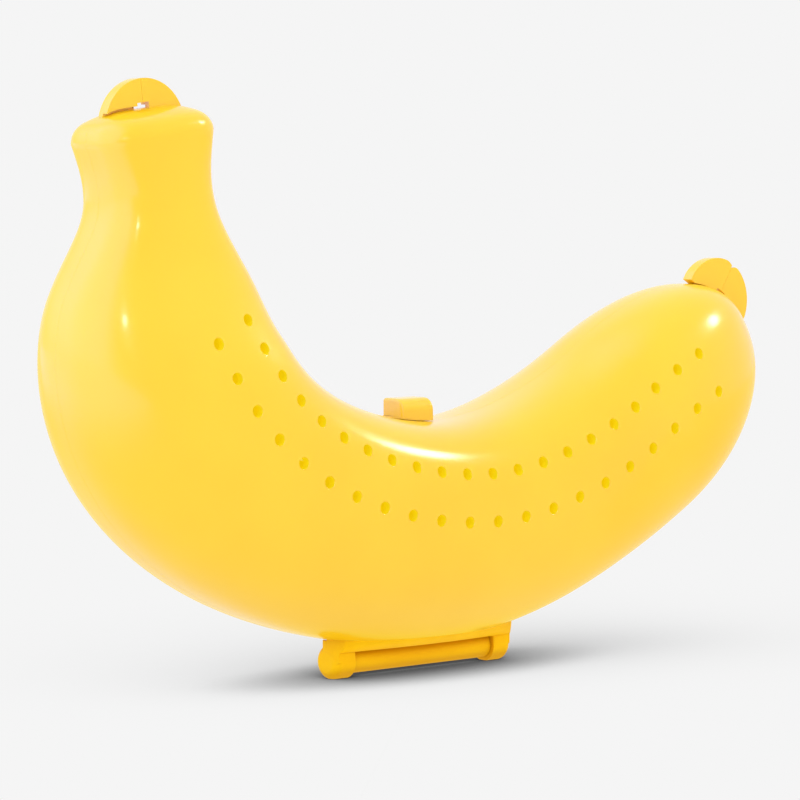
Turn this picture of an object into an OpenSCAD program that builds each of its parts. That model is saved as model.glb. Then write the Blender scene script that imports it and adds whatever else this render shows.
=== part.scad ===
// Banana-shaped carrying case: two vented shells, hinged under the belly and latched at the inner curve.
// +X runs from the stem to the tip, -Y is the front shell and +Z is up. The origin lies under the middle of
// the length, where the seam's plane meets the plane of the feet.

/* [Body curve] */
// Distance from the hinge's middle to the stem's axis
stem_reach = 81.4; // [72:0.2:92]
// Height of the stem's top section over the belly's control point
stem_rise = 100.2; // [88:0.2:112]
// Distance from the hinge's middle to the root of the tip
arm_reach = 69; // [60:0.5:78]
// Height of the root of the tip over the belly's control point
arm_rise = 26.8; // [20:0.2:33]
// Length of the rounded tip beyond its root
tip_length = 47; // [40:0.5:54]
// Lean of the tip's end towards the inner curve
tip_lean = 2.8; // [0:0.2:5]

/* [Body sections] */
// Width at the bulge below the stem, inner curve to outer curve
bulge_width = 61.2; // [56:0.2:67]
// Width at the belly, inner curve to outer curve
belly_width = 53.4; // [48:0.2:58]
// Width at the root of the tip, inner curve to outer curve
tip_width = 52.8; // [46:0.2:58]
// Depth of the body across both shells
body_depth = 48; // [42:0.5:54]
// Width of the stem's flared top
stem_top_width = 32; // [28:0.5:36]
// Width of the stem's waist
stem_waist_width = 22.4; // [20:0.2:26]
// Depth of the stem across both shells
stem_depth = 21; // [18:0.5:26]
// Rounding of the stem's top edge
stem_round = 5.2; // [4:0.2:7.6]
// Slope of the crowned top where it meets the rounding, in degrees
crown_slope = 26; // [16:1:36]
// Wall of both shells
wall = 2; // [1.6:0.1:2.6]
// Gap between the two rims
seam_gap = 0.2; // [0.1:0.05:0.4]

/* [Vents] */
// Diameter of a vent hole
vent_d = 2.8; // [2:0.1:4]
// Vent holes in a row
vent_count = 21; // [11:1:23]
// Distance from the inner seam to the upper row, at its stem end
vent_inset_stem = 12.4; // [10:0.2:15]
// Distance from the inner seam to the upper row, at its tip end
vent_inset_tip = 13.6; // [11:0.2:16]
// Distance between the two rows
vent_row_gap = 11.4; // [8:0.2:14]

/* [Hinge] */
// Diameter of the front shell's knuckles
knuckle_d = 8.4; // [7.6:0.2:10]
// Length of one knuckle
knuckle_l = 6; // [4.5:0.5:9]
// Diameter of the rear shell's barrel
barrel_d = 6.4; // [5.2:0.2:7]
// Length of the barrel between the knuckles
barrel_l = 43.4; // [30:0.2:48]
// Diameter of the hinge pin
pin_d = 3; // [2:0.1:3.6]
// Closed end of the knuckle on the stem side
knuckle_cap = 1.6; // [1:0.1:3]
// Height ground off the knuckles to make feet
foot_flat = 0.2; // [0.1:0.05:0.4]
// Clearance between the knuckles and the rear shell above them
belly_gap = 0.35; // [0.3:0.05:1]
// Radial clearance of the pin in the barrel
pin_clearance = 0.06; // [0.03:0.01:0.1]
// Radial clearance of the pin in the knuckles
pin_seat = 0.02; // [0.01:0.01:0.04]
// End clearance between the barrel and each knuckle
end_gap = 0.35; // [0.3:0.05:0.8]

/* [Latch] */
// Place of the latch along X, from the hinge's middle
latch_x = -2; // [-6:0.2:6]
// Width of the latch tongue
latch_w = 10; // [8:0.5:14]
// Reach of the tongue from its root over the front rim
latch_reach = 7.6; // [6:0.2:9]
// Height of the tongue over the rims
latch_h = 4.8; // [3.8:0.2:6]
// Thickness of the tongue's hook
hook_t = 1.5; // [1.2:0.1:2]
// Thickness of the tongue's cheeks beside the catch
cheek_t = 1.2; // [1:0.1:1.6]
// Height of the catch on the front shell
catch_h = 1.4; // [1:0.1:2]
// Thickness of the catch
catch_t = 1.4; // [1:0.1:2]
// Clearance around the tongue
latch_gap = 0.35; // [0.3:0.05:0.5]

/* [Opening tabs] */
// Radius of the tabs
tab_r = 11.2; // [9.6:0.2:13]
// Thickness of the tabs
tab_t = 3; // [2.4:0.2:4]
// Height of the stem tab over the stem's top
stem_tab_h = 6.8; // [5.6:0.2:8]
// Height of the tip tab over the tip's end
tip_tab_h = 9.4; // [7:0.2:11]
// Place of the tip tab on the tip's inner curve, as a share of the tip's length
tip_tab_at = 0.97; // [0.94:0.005:0.985]
// Tilt of the tip tab from upright, in degrees
tip_tab_tilt = 32; // [20:1:45]
// Slit between the two halves of a tab
tab_slit = 1; // [0.6:0.1:1.6]
// Gap under the half that reaches over the other shell
tab_gap = 0.6; // [0.4:0.1:1.2]
// Half width of the opening at the foot of the slit
tab_notch = 1.6; // [1:0.1:2.4]
// Height of the opening at the foot of the slit
tab_notch_h = 1.3; // [0.8:0.1:2]

/* [Hidden] */

yellow = [1, 0.76, 0.12];
deep_yellow = [0.98, 0.7, 0.06];
steel = [0.75, 0.76, 0.78];

// Rings along the body, on the stem's rounding and on the tip
rings_along = 52;
rings_stem = 4;
rings_tip = 14;
// Edges around half a section
edges = 20;
// The inside has one ring for this many rings of the outside, and so around it
inside_step = 2;
sink = 0.01;
$fn = 48;

// Squareness of the sections, where 2 is an ellipse, and of the tip's outline
stem_square = 3.8;
ridge_square = 3;
belly_square = 2.3;
tip_square = 2.13;

// Control stations from the stem to the tip: x, z, half width, half depth, inner and outer squareness
half_depth = body_depth / 2;
stations = [
    // stem top, stem waist and stem root
    [-stem_reach, stem_rise, stem_top_width / 2, stem_depth / 2, stem_square, stem_square],
    [
        -0.974 * stem_reach, 0.831 * stem_rise, stem_waist_width / 2, 0.98 * stem_depth / 2,
        stem_square, stem_square
    ],
    [-0.971 * stem_reach, 0.653 * stem_rise, 0.876 * bulge_width / 2, 0.6 * half_depth, 3.3, 3],
    // bulge and shoulder
    [-0.957 * stem_reach, 0.398 * stem_rise, bulge_width / 2, 0.92 * half_depth, 2.9, 2.5],
    [-0.635 * stem_reach, 0.13 * stem_rise, 1.047 * belly_width / 2, half_depth, ridge_square, belly_square],
    // belly, arm and the root of the tip
    [0.105 * arm_reach, 0, belly_width / 2, half_depth, ridge_square, belly_square],
    [0.739 * arm_reach, 0.59 * arm_rise, 0.956 * belly_width / 2, 0.98 * half_depth, 2.8, belly_square],
    [arm_reach, arm_rise, tip_width / 2, 0.92 * half_depth, 2.5, 2.4]
];
last = len(stations) - 1;
// End stations mirrored outwards, so that the curve starts and ends on the end stations
control = concat(
    [2 * stations[0] - stations[1]],
    stations,
    [2 * stations[last] - stations[last - 1]]
);

// Weights of four neighbouring stations on a cubic B-spline, and the slopes of those weights
function weights(u) =
    [pow(1 - u, 3), 3 * pow(u, 3) - 6 * u * u + 4, 1 + 3 * u + 3 * u * u - 3 * pow(u, 3), pow(u, 3)] / 6;
function slopes(u) = [-(1 - u) * (1 - u), 3 * u * u - 4 * u, 1 + 2 * u - 3 * u * u, u * u] / 2;

// Blended station and unit direction at t, which is 0 at the stem's top and grows by one per station
function span(t) = min(floor(t), last - 1);
function neighbours(t) = [for (i = [0:3]) control[span(t) + i]];
function station(t) = weights(t - span(t)) * neighbours(t);
function direction(t) =
    let (d = slopes(t - span(t)) * neighbours(t))
    [d[0], d[1]] / norm([d[0], d[1]]);

// Section: middle x and z, way to the inner curve, half sizes and squareness
function section(t, beyond, aside, half_w, half_d) =
    let (s = station(t), a = direction(t))
    let (x = s[0] + a[0] * beyond - a[1] * aside, z = s[1] + a[1] * beyond + a[0] * aside)
    [x, z, -a[1], a[0], half_w, half_d, s[4], s[5]];

// Section over the stem's top, h high and taken in by an inset
function stem_section(h, inset) = section(0, -h, 0, station(0)[2] - inset, station(0)[3] - inset);

// Section at t, taken in by a skin: past the last station t counts shares of the tip's length
function body_section(t, skin) =
    let (s = station(min(t, last)), x = max(t - last, 0))
    let (share = pow(1 - pow(x, tip_square), 1 / tip_square))
    let (half_w = (s[2] - skin) * share, half_d = (s[3] - skin) * share)
    section(min(t, last), x * (tip_length - skin), x * x * tip_lean, half_w, half_d);

// Pairs of length along a path and parameter, and n parameters spread over that length, which crowd towards
// the start by a lean
function length_table(path, ts) = [
    for (i = 0, s = 0; i < len(ts); s = s + (i + 1 < len(ts) ? norm(path[i + 1] - path[i]) : 0), i = i + 1)
        [s, ts[i]]
];
function spread(table, n, lean) = [
    for (i = [0:n - 1])
        let (u = i / (n - 1))
        lookup(table[len(table) - 1][0] * (u - lean * u * (1 - u)), table)
];

fine_t = [for (i = [0:160]) last * i / 160];
spine = [for (t = fine_t) [station(t)[0], station(t)[1]]];
ring_t = spread(length_table(spine, fine_t), rings_along + 1, 0);

// All sections from the stem's crown to the tip, taken in by a skin: 0 outside, the wall inside
function raw_sections(skin) =
    let (r = stem_round - skin, crown_a = 90 - crown_slope)
    let (crown_in = skin + r * (1 - cos(crown_a)), crown_run = stem_depth / 2 - crown_in)
    concat(
        [
            for (f = [0.9, 0.5])
                let (rise = crown_run * tan(crown_slope) * (1 - (1 - f) * (1 - f)) / 2)
                stem_section(r * sin(crown_a) + rise, crown_in + crown_run * f)
        ],
        [
            for (i = [rings_stem:-1:1])
                let (a = crown_a * i / rings_stem)
                stem_section(r * sin(a), skin + r * (1 - cos(a)))
        ],
        [for (t = ring_t) body_section(t, skin)],
        [for (i = [1:rings_tip]) body_section(last + pow(sin(84 * i / rings_tip), 2 / tip_square), skin)]
    );

// Hinge axis and half lengths along X, and the lift that sets the belly just over the knuckles
axis_z = knuckle_d / 2 - foot_flat;
barrel_half = barrel_l / 2;
knuckle_in = barrel_half + end_gap;
hinge_half = knuckle_in + knuckle_l;
raw_belly = [for (r = raw_sections(0)) if (abs(r[0]) < 0.7 * stem_reach && r[3] > 0) seam(r, -1)];
belly_over = min([for (side = [-1, 1]) lookup(side * knuckle_in, raw_belly)]);
lift = axis_z + knuckle_d / 2 + belly_gap - belly_over;
lifted = [0, lift, 0, 0, 0, 0, 0, 0];
function sections(skin) = [for (r = raw_sections(skin)) r + lifted];
outside = sections(0);
inside = let (all = sections(wall)) [for (i = [0:inside_step:len(all) - 1]) all[i]];

// Point of a section's seam: side 1 on the inner curve, -1 on the outer curve
function seam(r, side) = [r[0] + side * r[2] * r[4], r[1] + side * r[3] * r[4]];
belly_seam = [for (r = outside) if (abs(r[0]) < 0.7 * stem_reach && r[3] > 0) seam(r, -1)];
valley_seam = [for (r = outside) if (abs(r[0]) < 0.5 * stem_reach && r[3] > 0) seam(r, 1)];

// Rim under the latch: its highest point, and a foot sunk into the wall under its lowest point
latch_rim = [for (side = [-1, 0, 1]) lookup(latch_x + side * latch_w / 2, valley_seam)];
valley_z = max(latch_rim);
valley_foot = min(latch_rim) - wall / 2;

// Front half of a section from the inner curve to the outer curve, as points
function half_section(r, n) = [
    for (j = [0:n])
        let (c = cos(180 * j / n), s = sin(180 * j / n))
        let (e = 2 / (c > 0 ? r[6] : r[7]), v = sign(c) * r[4] * pow(abs(c), e))
        [r[0] + r[2] * v, -r[5] * pow(s, e), r[1] + r[3] * v]
];

// Body of the front shell: an outer skin, an inner skin and the rim that joins them
module half_body() {
    n_out = len(outside);
    n_in = len(inside);
    in_edges = edges / inside_step;
    first_in = n_out * (edges + 1);
    points = concat(
        [for (r = outside) each half_section(r, edges)],
        [for (r = inside) each half_section(r, in_edges)]
    );
    function o(i, j) = i * (edges + 1) + j;
    function n(k, m) = first_in + k * (in_edges + 1) + m;
    outer_skin = [
        for (i = [0:n_out - 2], j = [0:edges - 1])
            each [[o(i, j), o(i + 1, j), o(i + 1, j + 1)], [o(i, j), o(i + 1, j + 1), o(i, j + 1)]]
    ];
    inner_skin = [
        for (k = [0:n_in - 2], m = [0:in_edges - 1])
            each [[n(k, m), n(k + 1, m + 1), n(k + 1, m)], [n(k, m), n(k, m + 1), n(k + 1, m + 1)]]
    ];
    ends = [
        [for (j = [0:edges]) o(0, j)],
        [for (j = [edges:-1:0]) o(n_out - 1, j)],
        [for (m = [in_edges:-1:0]) n(0, m)],
        [for (m = [0:in_edges]) n(n_in - 1, m)]
    ];
    rim = [
        for (k = [0:n_in - 2])
            let (i = k * inside_step)
            each [
                concat([n(k, 0), n(k + 1, 0)], [for (q = [inside_step:-1:0]) o(i + q, 0)]),
                concat([for (q = [0:inside_step]) o(i + q, edges)], [n(k + 1, in_edges), n(k, in_edges)])
            ]
    ];
    rim_ends = [
        [o(0, 0), o(0, edges), n(0, in_edges), n(0, 0)],
        [n(n_in - 1, 0), n(n_in - 1, in_edges), o(n_out - 1, edges), o(n_out - 1, 0)]
    ];
    translate([0, -seam_gap / 2, 0])
        polyhedron(points, concat(outer_skin, inner_skin, ends, rim, rim_ends), 4);
}

// Flat shape in x and z, made solid from y0 to y1
module slab(y0, y1) {
    translate([0, y1, 0])
        rotate([90, 0, 0])
            linear_extrude(y1 - y0)
                children();
}

// Vent holes of the front shell, bored along the mould's pull
vent_from = [2.3, 2.48];
vent_to = 7.36;
vent_lean = [0.11, 0.04];
vent_bow = 1.4;
function vent_point(t, row) =
    let (r = body_section(t, 0) + lifted)
    let (share = (t - vent_from[row]) / (vent_to - vent_from[row]))
    let (bow = 4 * vent_bow * share * (1 - share))
    let (inset = vent_inset_stem + (vent_inset_tip - vent_inset_stem) * share - bow + row * vent_row_gap)
    [r[0] + r[2] * (r[4] - inset), r[1] + r[3] * (r[4] - inset)];
module vents() {
    for (row = [0, 1]) {
        ts = [for (i = [0:100]) vent_from[row] + (vent_to - vent_from[row]) * i / 100];
        table = length_table([for (t = ts) vent_point(t, row)], ts);
        for (t = spread(table, vent_count, vent_lean[row])) {
            p = vent_point(t, row);
            translate([p[0], -body_depth / 2 - wall, p[1]])
                rotate([-90, 0, 0])
                    cylinder(d = vent_d, h = body_depth / 2);
        }
    }
}

// Hinge: a leaf grows from a shell's belly down to its foot outline
knuckle_nose = 2;
leaf_setback = 0.3;
web_y = 0.31 * knuckle_d / 2;
module leaf(half, foot) {
    steps = 16;
    top = [
        for (i = [steps:-1:0])
            let (x = half * (2 * i / steps - 1))
            [x, lookup(x, belly_seam) + wall / 2]
    ];
    polygon(concat(foot, top));
}

// Cylinder along X about the hinge axis
module axle(x0, x1, d) {
    translate([x0, 0, axis_z])
        rotate([0, 90, 0])
            cylinder(d = d, h = x1 - x0);
}

// Knuckle on the tip side of the hinge, with the edge of its nose rounded
module knuckle() {
    r = knuckle_d / 2;
    translate([knuckle_in, 0, axis_z])
        rotate([0, 90, 0])
            rotate_extrude() {
                square([r, knuckle_l - knuckle_nose]);
                square([r - knuckle_nose, knuckle_l]);
                translate([r - knuckle_nose, knuckle_l - knuckle_nose])
                    circle(knuckle_nose);
            }
}

// Web over a knuckle behind the seam's plane, which clears the rear belly as it swings
module web(side) {
    steps = 4;
    length = knuckle_l - leaf_setback;
    top = [
        for (i = [0:steps])
            let (x = side * (knuckle_in + length * i / steps))
            [x, lookup(x, belly_seam) - belly_gap - web_y * web_y / knuckle_d]
    ];
    polygon(concat(top, [for (x = [knuckle_in + length, knuckle_in]) [side * x, axis_z]]));
}

// Bracket of the front shell: a leaf with a window for the barrel, and a knuckle at each end
module bracket() {
    half = hinge_half - leaf_setback;
    window_z = axis_z + 0.39 * barrel_d;
    foot = [
        [-half, axis_z], [-knuckle_in, axis_z], [-knuckle_in, window_z],
        [knuckle_in, window_z], [knuckle_in, axis_z], [half, axis_z]
    ];
    difference() {
        union() {
            slab(leaf_setback - knuckle_d / 2, -seam_gap / 2)
                leaf(half, foot);
            for (side = [-1, 1])
                slab(-seam_gap, web_y)
                    web(side);
            knuckle();
            mirror([1, 0, 0])
                knuckle();
        }
        translate([-hinge_half, -knuckle_d, -knuckle_d])
            cube([2 * hinge_half, 2 * knuckle_d, knuckle_d]);
        axle(knuckle_cap - hinge_half, hinge_half + knuckle_nose, pin_d + 2 * pin_seat);
    }
}

// Barrel of the rear shell, on its own leaf
module barrel() {
    difference() {
        union() {
            slab(seam_gap / 2, barrel_d / 2 - leaf_setback)
                leaf(barrel_half, [[-barrel_half, axis_z], [barrel_half, axis_z]]);
            axle(-barrel_half, barrel_half, barrel_d);
        }
        axle(-hinge_half, hinge_half, pin_d + 2 * pin_clearance);
    }
}

// Places along Y of the catch, the tongue's hook and the tongue's back, and heights over the valley's seam
catch_y = -seam_gap / 2 - latch_gap;
hook_y = catch_y - catch_t - latch_gap;
tongue_y = hook_y - hook_t;
root_y = tongue_y + latch_reach;
root_in_y = seam_gap / 2 + latch_gap;
seat_h = 0.6;
brow_round = 3;
tongue_round = 0.8;
hinge_web = 0.05;

// Block that stands on a rim at the valley, sunk into the wall
module valley_block(y0, y1, width, h) {
    translate([latch_x - width / 2, y0, valley_foot])
        cube([width, y1 - y0, valley_z + h - valley_foot]);
}

// Outline of the valley's rim under the latch, raised by a gap
module raised_rim(gap) {
    steps = 8;
    rim = [
        for (i = [0:steps])
            let (x = latch_x + 0.6 * latch_w * (2 * i / steps - 1))
            [x, lookup(x, valley_seam) + gap]
    ];
    polygon(concat(rim, [for (side = [1, -1]) [latch_x + side * latch_w, valley_foot - wall]]));
}

// Square with its two upper corners rounded
module arch(width, height, r) {
    translate([-width / 2, 0])
        square([width, height - r]);
    translate([r - width / 2, 0])
        square([width - 2 * r, height]);
    for (side = [-1, 1])
        translate([side * (width / 2 - r), height - r])
            circle(r);
}

// Tongue over the seam: a block with a rounded brow and closed cheeks, with a pocket that clears the catch
module tongue() {
    rise = valley_z - valley_foot;
    pocket_w = latch_w - 2 * cheek_t;
    difference() {
        translate([latch_x, 0, valley_foot])
            intersection() {
                slab(tongue_y, root_y)
                    arch(latch_w, rise + latch_h, tongue_round);
                translate([-latch_w / 2, root_y, 0])
                    rotate([90, 0, 90])
                        linear_extrude(latch_w)
                            arch(2 * latch_reach, rise + latch_h, brow_round);
            }
        slab(tongue_y - sink, root_in_y)
            raised_rim(latch_gap);
        translate([latch_x - pocket_w / 2, hook_y, valley_foot - sink])
            cube([pocket_w, root_in_y - hook_y, rise + catch_h + latch_gap + sink]);
        translate([latch_x - latch_w, root_in_y - sink, valley_foot - sink])
            cube([2 * latch_w, latch_reach, rise + seat_h + hinge_web + sink]);
    }
}

// Ends of the body: point, tilt from Z in degrees, and height of the tab over the point
function tilt(a) = atan2(a[0], a[1]);
stem_foot = outside[0];
stem_end = [[stem_foot[0], stem_foot[1]], tilt(-direction(0)), stem_tab_h];
tip_foot = body_section(last + tip_tab_at, 0) + lifted;
tip_end = [seam(tip_foot, 1), tip_tab_tilt, tip_tab_h];
near_rings = 24;
function near_end(list, at_stem) =
    [for (i = [0:near_rings]) list[at_stem ? i : len(list) - 1 - i]];
function local(p, e) =
    let (d = p - e[0])
    [d[0] * cos(e[1]) - d[1] * sin(e[1]), d[0] * sin(e[1]) + d[1] * cos(e[1])];

// Outline of the body at an end in the tab's plane, taken in by a skin
module end_outline(e, skin) {
    list = near_end(sections(skin), e == stem_end);
    first = [for (r = list) local(seam(r, 1), e)];
    second = [for (i = [len(list) - 1:-1:0]) local(seam(list[i], -1), e)];
    polygon(concat(first, second));
}

// Quarter of a tab's disc, from its slit outwards on one side
module quarter(e, side, from) {
    intersection() {
        translate([0, e[2] - tab_r])
            circle(tab_r);
        translate([side > 0 ? from : -from - tab_r, e[2] - tab_r])
            square([tab_r, tab_r]);
    }
}

// Half of an opening tab: a plate that clears both shells, and a foot on its own shell at y < 0
module half_tab(e, side) {
    translate([e[0][0], 0, e[0][1]])
        rotate([0, e[1], 0]) {
            slab(-tab_t / 2, tab_t / 2)
                difference() {
                    quarter(e, side, tab_slit / 2);
                    end_outline(e, -tab_gap);
                    translate([-tab_notch, -tab_r])
                        square([2 * tab_notch, tab_r + tab_notch_h]);
                }
            slab(-tab_t / 2, -seam_gap / 2)
                difference() {
                    quarter(e, side, tab_notch);
                    end_outline(e, wall / 2);
                }
        }
}

// Moves a piece from the hinge's middle to the middle of the length, from the bulge to the tip tab
bulge_x = min([for (r = outside) seam(r, -1)[0]]);
tip_tab_x = tip_end[0][0] + sin(tip_tab_tilt) * (tip_tab_h - tab_r) + tab_r;
module placed() {
    translate([-(bulge_x + tip_tab_x) / 2, 0, 0])
        children();
}

module front_shell() {
    color(yellow)
        placed()
            difference() {
                union() {
                    half_body();
                    bracket();
                    valley_block(catch_y - catch_t, catch_y, latch_w - 2 * (cheek_t + latch_gap), catch_h);
                    half_tab(stem_end, 1);
                    half_tab(tip_end, 1);
                }
                vents();
                axle(-knuckle_in, knuckle_in, barrel_d + 2 * end_gap);
            }
}

module rear_shell() {
    color(yellow)
        placed() {
            mirror([0, 1, 0])
                difference() {
                    union() {
                        half_body();
                        half_tab(stem_end, -1);
                        half_tab(tip_end, -1);
                    }
                    vents();
                }
            barrel();
            valley_block(root_in_y, root_y, latch_w, seat_h);
        }
}

module hinge_pin() {
    recess = 0.5;
    color(steel)
        placed()
            axle(knuckle_cap - hinge_half + pin_seat, hinge_half - recess, pin_d);
}

module latch_tongue() {
    color(deep_yellow)
        placed()
            tongue();
}

front_shell();
rear_shell();
hinge_pin();
latch_tongue();
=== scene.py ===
"""Banana carrying case: two vented shells, a wire hinge and a snap latch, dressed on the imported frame.

Sizes are in millimetres from the hinge's middle, as in the part's source. Meshes are in metres in the frame.
"""

import logging
import math
from dataclasses import dataclass, field
from enum import Enum

import bmesh
import bpy
import numpy as np
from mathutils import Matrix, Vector
from mathutils.bvhtree import BVHTree


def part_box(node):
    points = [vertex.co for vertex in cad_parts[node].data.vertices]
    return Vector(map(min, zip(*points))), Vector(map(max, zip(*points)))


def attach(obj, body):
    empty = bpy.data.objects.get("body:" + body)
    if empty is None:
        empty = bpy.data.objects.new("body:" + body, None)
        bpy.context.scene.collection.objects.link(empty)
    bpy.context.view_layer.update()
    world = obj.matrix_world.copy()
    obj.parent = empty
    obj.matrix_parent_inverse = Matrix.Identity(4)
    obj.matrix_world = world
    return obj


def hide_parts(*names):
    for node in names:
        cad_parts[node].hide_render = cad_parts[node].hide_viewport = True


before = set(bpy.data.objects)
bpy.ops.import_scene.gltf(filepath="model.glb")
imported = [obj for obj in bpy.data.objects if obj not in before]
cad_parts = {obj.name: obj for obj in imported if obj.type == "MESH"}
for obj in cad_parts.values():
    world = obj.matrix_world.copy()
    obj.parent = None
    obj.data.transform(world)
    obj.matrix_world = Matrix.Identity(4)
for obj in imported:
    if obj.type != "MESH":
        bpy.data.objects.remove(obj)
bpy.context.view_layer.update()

logging.basicConfig(level=logging.INFO, format="%(message)s")
LOG = logging.getLogger("banana_case")

MM = 0.001
SHARP = math.radians(38)
NOISE_SPAN = (0.35, 0.65)


class Side(Enum):
    """The two shells, with the sign of Y on which each one lies."""

    FRONT = -1
    REAR = 1


class Cut(Enum):
    """Ways to join two solids."""

    UNION = "UNION"
    DIFFERENCE = "DIFFERENCE"
    INTERSECT = "INTERSECT"


def linear(hex_code: str) -> tuple[float, float, float, float]:
    """Turns an sRGB hex colour into linear light.

    Args:
        hex_code: Six hex digits.

    Returns:
        Red, green, blue and an alpha of one.
    """
    shares = [int(hex_code[i:i + 2], 16) / 255 for i in (0, 2, 4)]
    red, green, blue = (c / 12.92 if c <= 0.04045 else ((c + 0.055) / 1.055) ** 2.4 for c in shares)
    return red, green, blue, 1.0


def add_node(tree: bpy.types.NodeTree, kind: str, settings: dict | None = None,
             inputs: dict | None = None) -> bpy.types.Node:
    """Adds one node with its settings and links.

    Args:
        tree: Node tree that takes the node.
        kind: Blender's name of the node type.
        settings: Properties of the node.
        inputs: Input name or number, with a value, a socket to link, or a list of sockets.

    Returns:
        The new node.
    """
    node = tree.nodes.new(kind)
    for name, value in (settings or {}).items():
        setattr(node, name, value)
    for key, value in (inputs or {}).items():
        for item in value if isinstance(value, list) else [value]:
            if isinstance(item, bpy.types.NodeSocket):
                tree.links.new(item, node.inputs[key])
            else:
                node.inputs[key].default_value = item
    return node


def blank_material(name: str) -> tuple[bpy.types.Material, bpy.types.NodeTree]:
    """Makes a material with an empty node tree.

    Args:
        name: Name of the material.

    Returns:
        The material and its tree.
    """
    material = bpy.data.materials.new(name)
    material.use_nodes = True
    material.node_tree.nodes.clear()
    return material, material.node_tree


def direction_from(azimuth: float, elevation: float) -> Vector:
    """Unit way from the object to a place in the studio.

    Args:
        azimuth: Degrees from the front, growing towards the tip's side.
        elevation: Degrees over the floor.

    Returns:
        Unit vector in the part's frame.
    """
    a, e = math.radians(azimuth), math.radians(elevation)
    return Vector((math.sin(a) * math.cos(e), -math.cos(a) * math.cos(e), math.sin(e)))


@dataclass(frozen=True)
class CaseCurve:
    """Spine and sections of the body, from the stem to the tip."""

    stem_reach: float = 81.4
    stem_rise: float = 100.2
    arm_reach: float = 69.0
    arm_rise: float = 26.8
    tip_length: float = 47.0
    tip_lean: float = 2.8
    bulge_width: float = 61.2
    belly_width: float = 53.4
    tip_width: float = 52.8
    body_depth: float = 48.0
    stem_top_width: float = 32.0
    stem_waist_width: float = 22.4
    stem_depth: float = 21.0
    stem_round: float = 5.2
    crown_slope: float = 26.0
    wall: float = 2.0
    tip_square: float = 2.13
    hinge_in: float = 22.05
    hinge_top: float = 8.55

    CROWN_STEPS, EDGE_STEPS, BODY_RINGS, TIP_STEPS = 16, 12, 190, 48

    def control(self) -> np.ndarray:
        """Lists the stations of the spine, with mirrored ends.

        Returns:
            Rows of x, z, half width, half depth and both squarenesses.
        """
        reach, rise, arm = self.stem_reach, self.stem_rise, self.arm_reach
        deep, belly = self.body_depth / 2, self.belly_width / 2
        rows = np.array([
            [-reach, rise, self.stem_top_width / 2, self.stem_depth / 2, 3.8, 3.8],
            [-0.974 * reach, 0.831 * rise, self.stem_waist_width / 2, 0.98 * self.stem_depth / 2, 3.8, 3.8],
            [-0.971 * reach, 0.653 * rise, 0.876 * self.bulge_width / 2, 0.6 * deep, 3.3, 3.0],
            [-0.957 * reach, 0.398 * rise, self.bulge_width / 2, 0.92 * deep, 2.9, 2.5],
            [-0.635 * reach, 0.13 * rise, 1.047 * belly, deep, 3.0, 2.3],
            [0.105 * arm, 0.0, belly, deep, 3.0, 2.3],
            [0.739 * arm, 0.59 * self.arm_rise, 0.956 * belly, 0.98 * deep, 2.8, 2.3],
            [arm, self.arm_rise, self.tip_width / 2, 0.92 * deep, 2.5, 2.4],
        ])
        return np.vstack([2 * rows[0] - rows[1], rows, 2 * rows[-1] - rows[-2]])

    @property
    def last(self) -> int:
        """Number of the last station."""
        return len(self.control()) - 3

    def station(self, t: np.ndarray) -> tuple[np.ndarray, np.ndarray]:
        """Blends the stations on a cubic B-spline.

        Args:
            t: Places along the body, growing by one per station.

        Returns:
            Station rows, and unit directions in x and z.
        """
        control = self.control()
        span = np.minimum(np.floor(t).astype(int), self.last - 1)
        u = t - span
        weights = np.stack([(1 - u) ** 3, 3 * u ** 3 - 6 * u ** 2 + 4, 1 + 3 * u + 3 * u ** 2 - 3 * u ** 3, u ** 3], 1)
        slopes = np.stack([-(1 - u) ** 2, 3 * u ** 2 - 4 * u, 1 + 2 * u - 3 * u ** 2, u ** 2], 1)
        near = control[span[:, None] + np.arange(4)]
        rows = np.einsum("ni,nij->nj", weights / 6, near)
        ways = np.einsum("ni,nij->nj", slopes / 2, near)[:, :2]
        return rows, ways / np.linalg.norm(ways, axis=1, keepdims=True)

    def section(self, t: np.ndarray, beyond: np.ndarray, aside: np.ndarray, half_w: np.ndarray,
                half_d: np.ndarray) -> np.ndarray:
        """Places sections on the spine.

        Args:
            t: Places along the body.
            beyond: Shift along the spine.
            aside: Shift towards the inner curve.
            half_w: Half widths.
            half_d: Half depths.

        Returns:
            Rows of x, z, way to the inner curve, half sizes and squareness.
        """
        rows, way = self.station(t)
        x = rows[:, 0] + way[:, 0] * beyond - way[:, 1] * aside
        z = rows[:, 1] + way[:, 1] * beyond + way[:, 0] * aside
        return np.stack([x, z, -way[:, 1], way[:, 0], half_w, half_d, rows[:, 4], rows[:, 5]], 1)

    def body(self, t: np.ndarray, skin: float) -> np.ndarray:
        """Sections taken in by a skin; past the last station t counts shares of the tip's length.

        Args:
            t: Places along the body.
            skin: How far the sections are taken in.

        Returns:
            Section rows, one for each place.
        """
        on_spine, x = np.minimum(t, self.last), np.clip(t - self.last, 0, 1)
        rows, _ = self.station(on_spine)
        share = (1 - x ** self.tip_square) ** (1 / self.tip_square)
        return self.section(on_spine, x * (self.tip_length - skin), x * x * self.tip_lean,
                            (rows[:, 2] - skin) * share, (rows[:, 3] - skin) * share)

    def spread(self, n: int) -> np.ndarray:
        """Gives n places from the stem to the root of the tip, even along the spine.

        Args:
            n: Count of places.

        Returns:
            Places along the body, growing.
        """
        fine = np.linspace(0, self.last, 800)
        spine = self.station(fine)[0][:, :2]
        run = np.concatenate([[0], np.cumsum(np.linalg.norm(np.diff(spine, axis=0), axis=1))])
        return np.interp(np.linspace(0, run[-1], n), run, fine)

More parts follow.
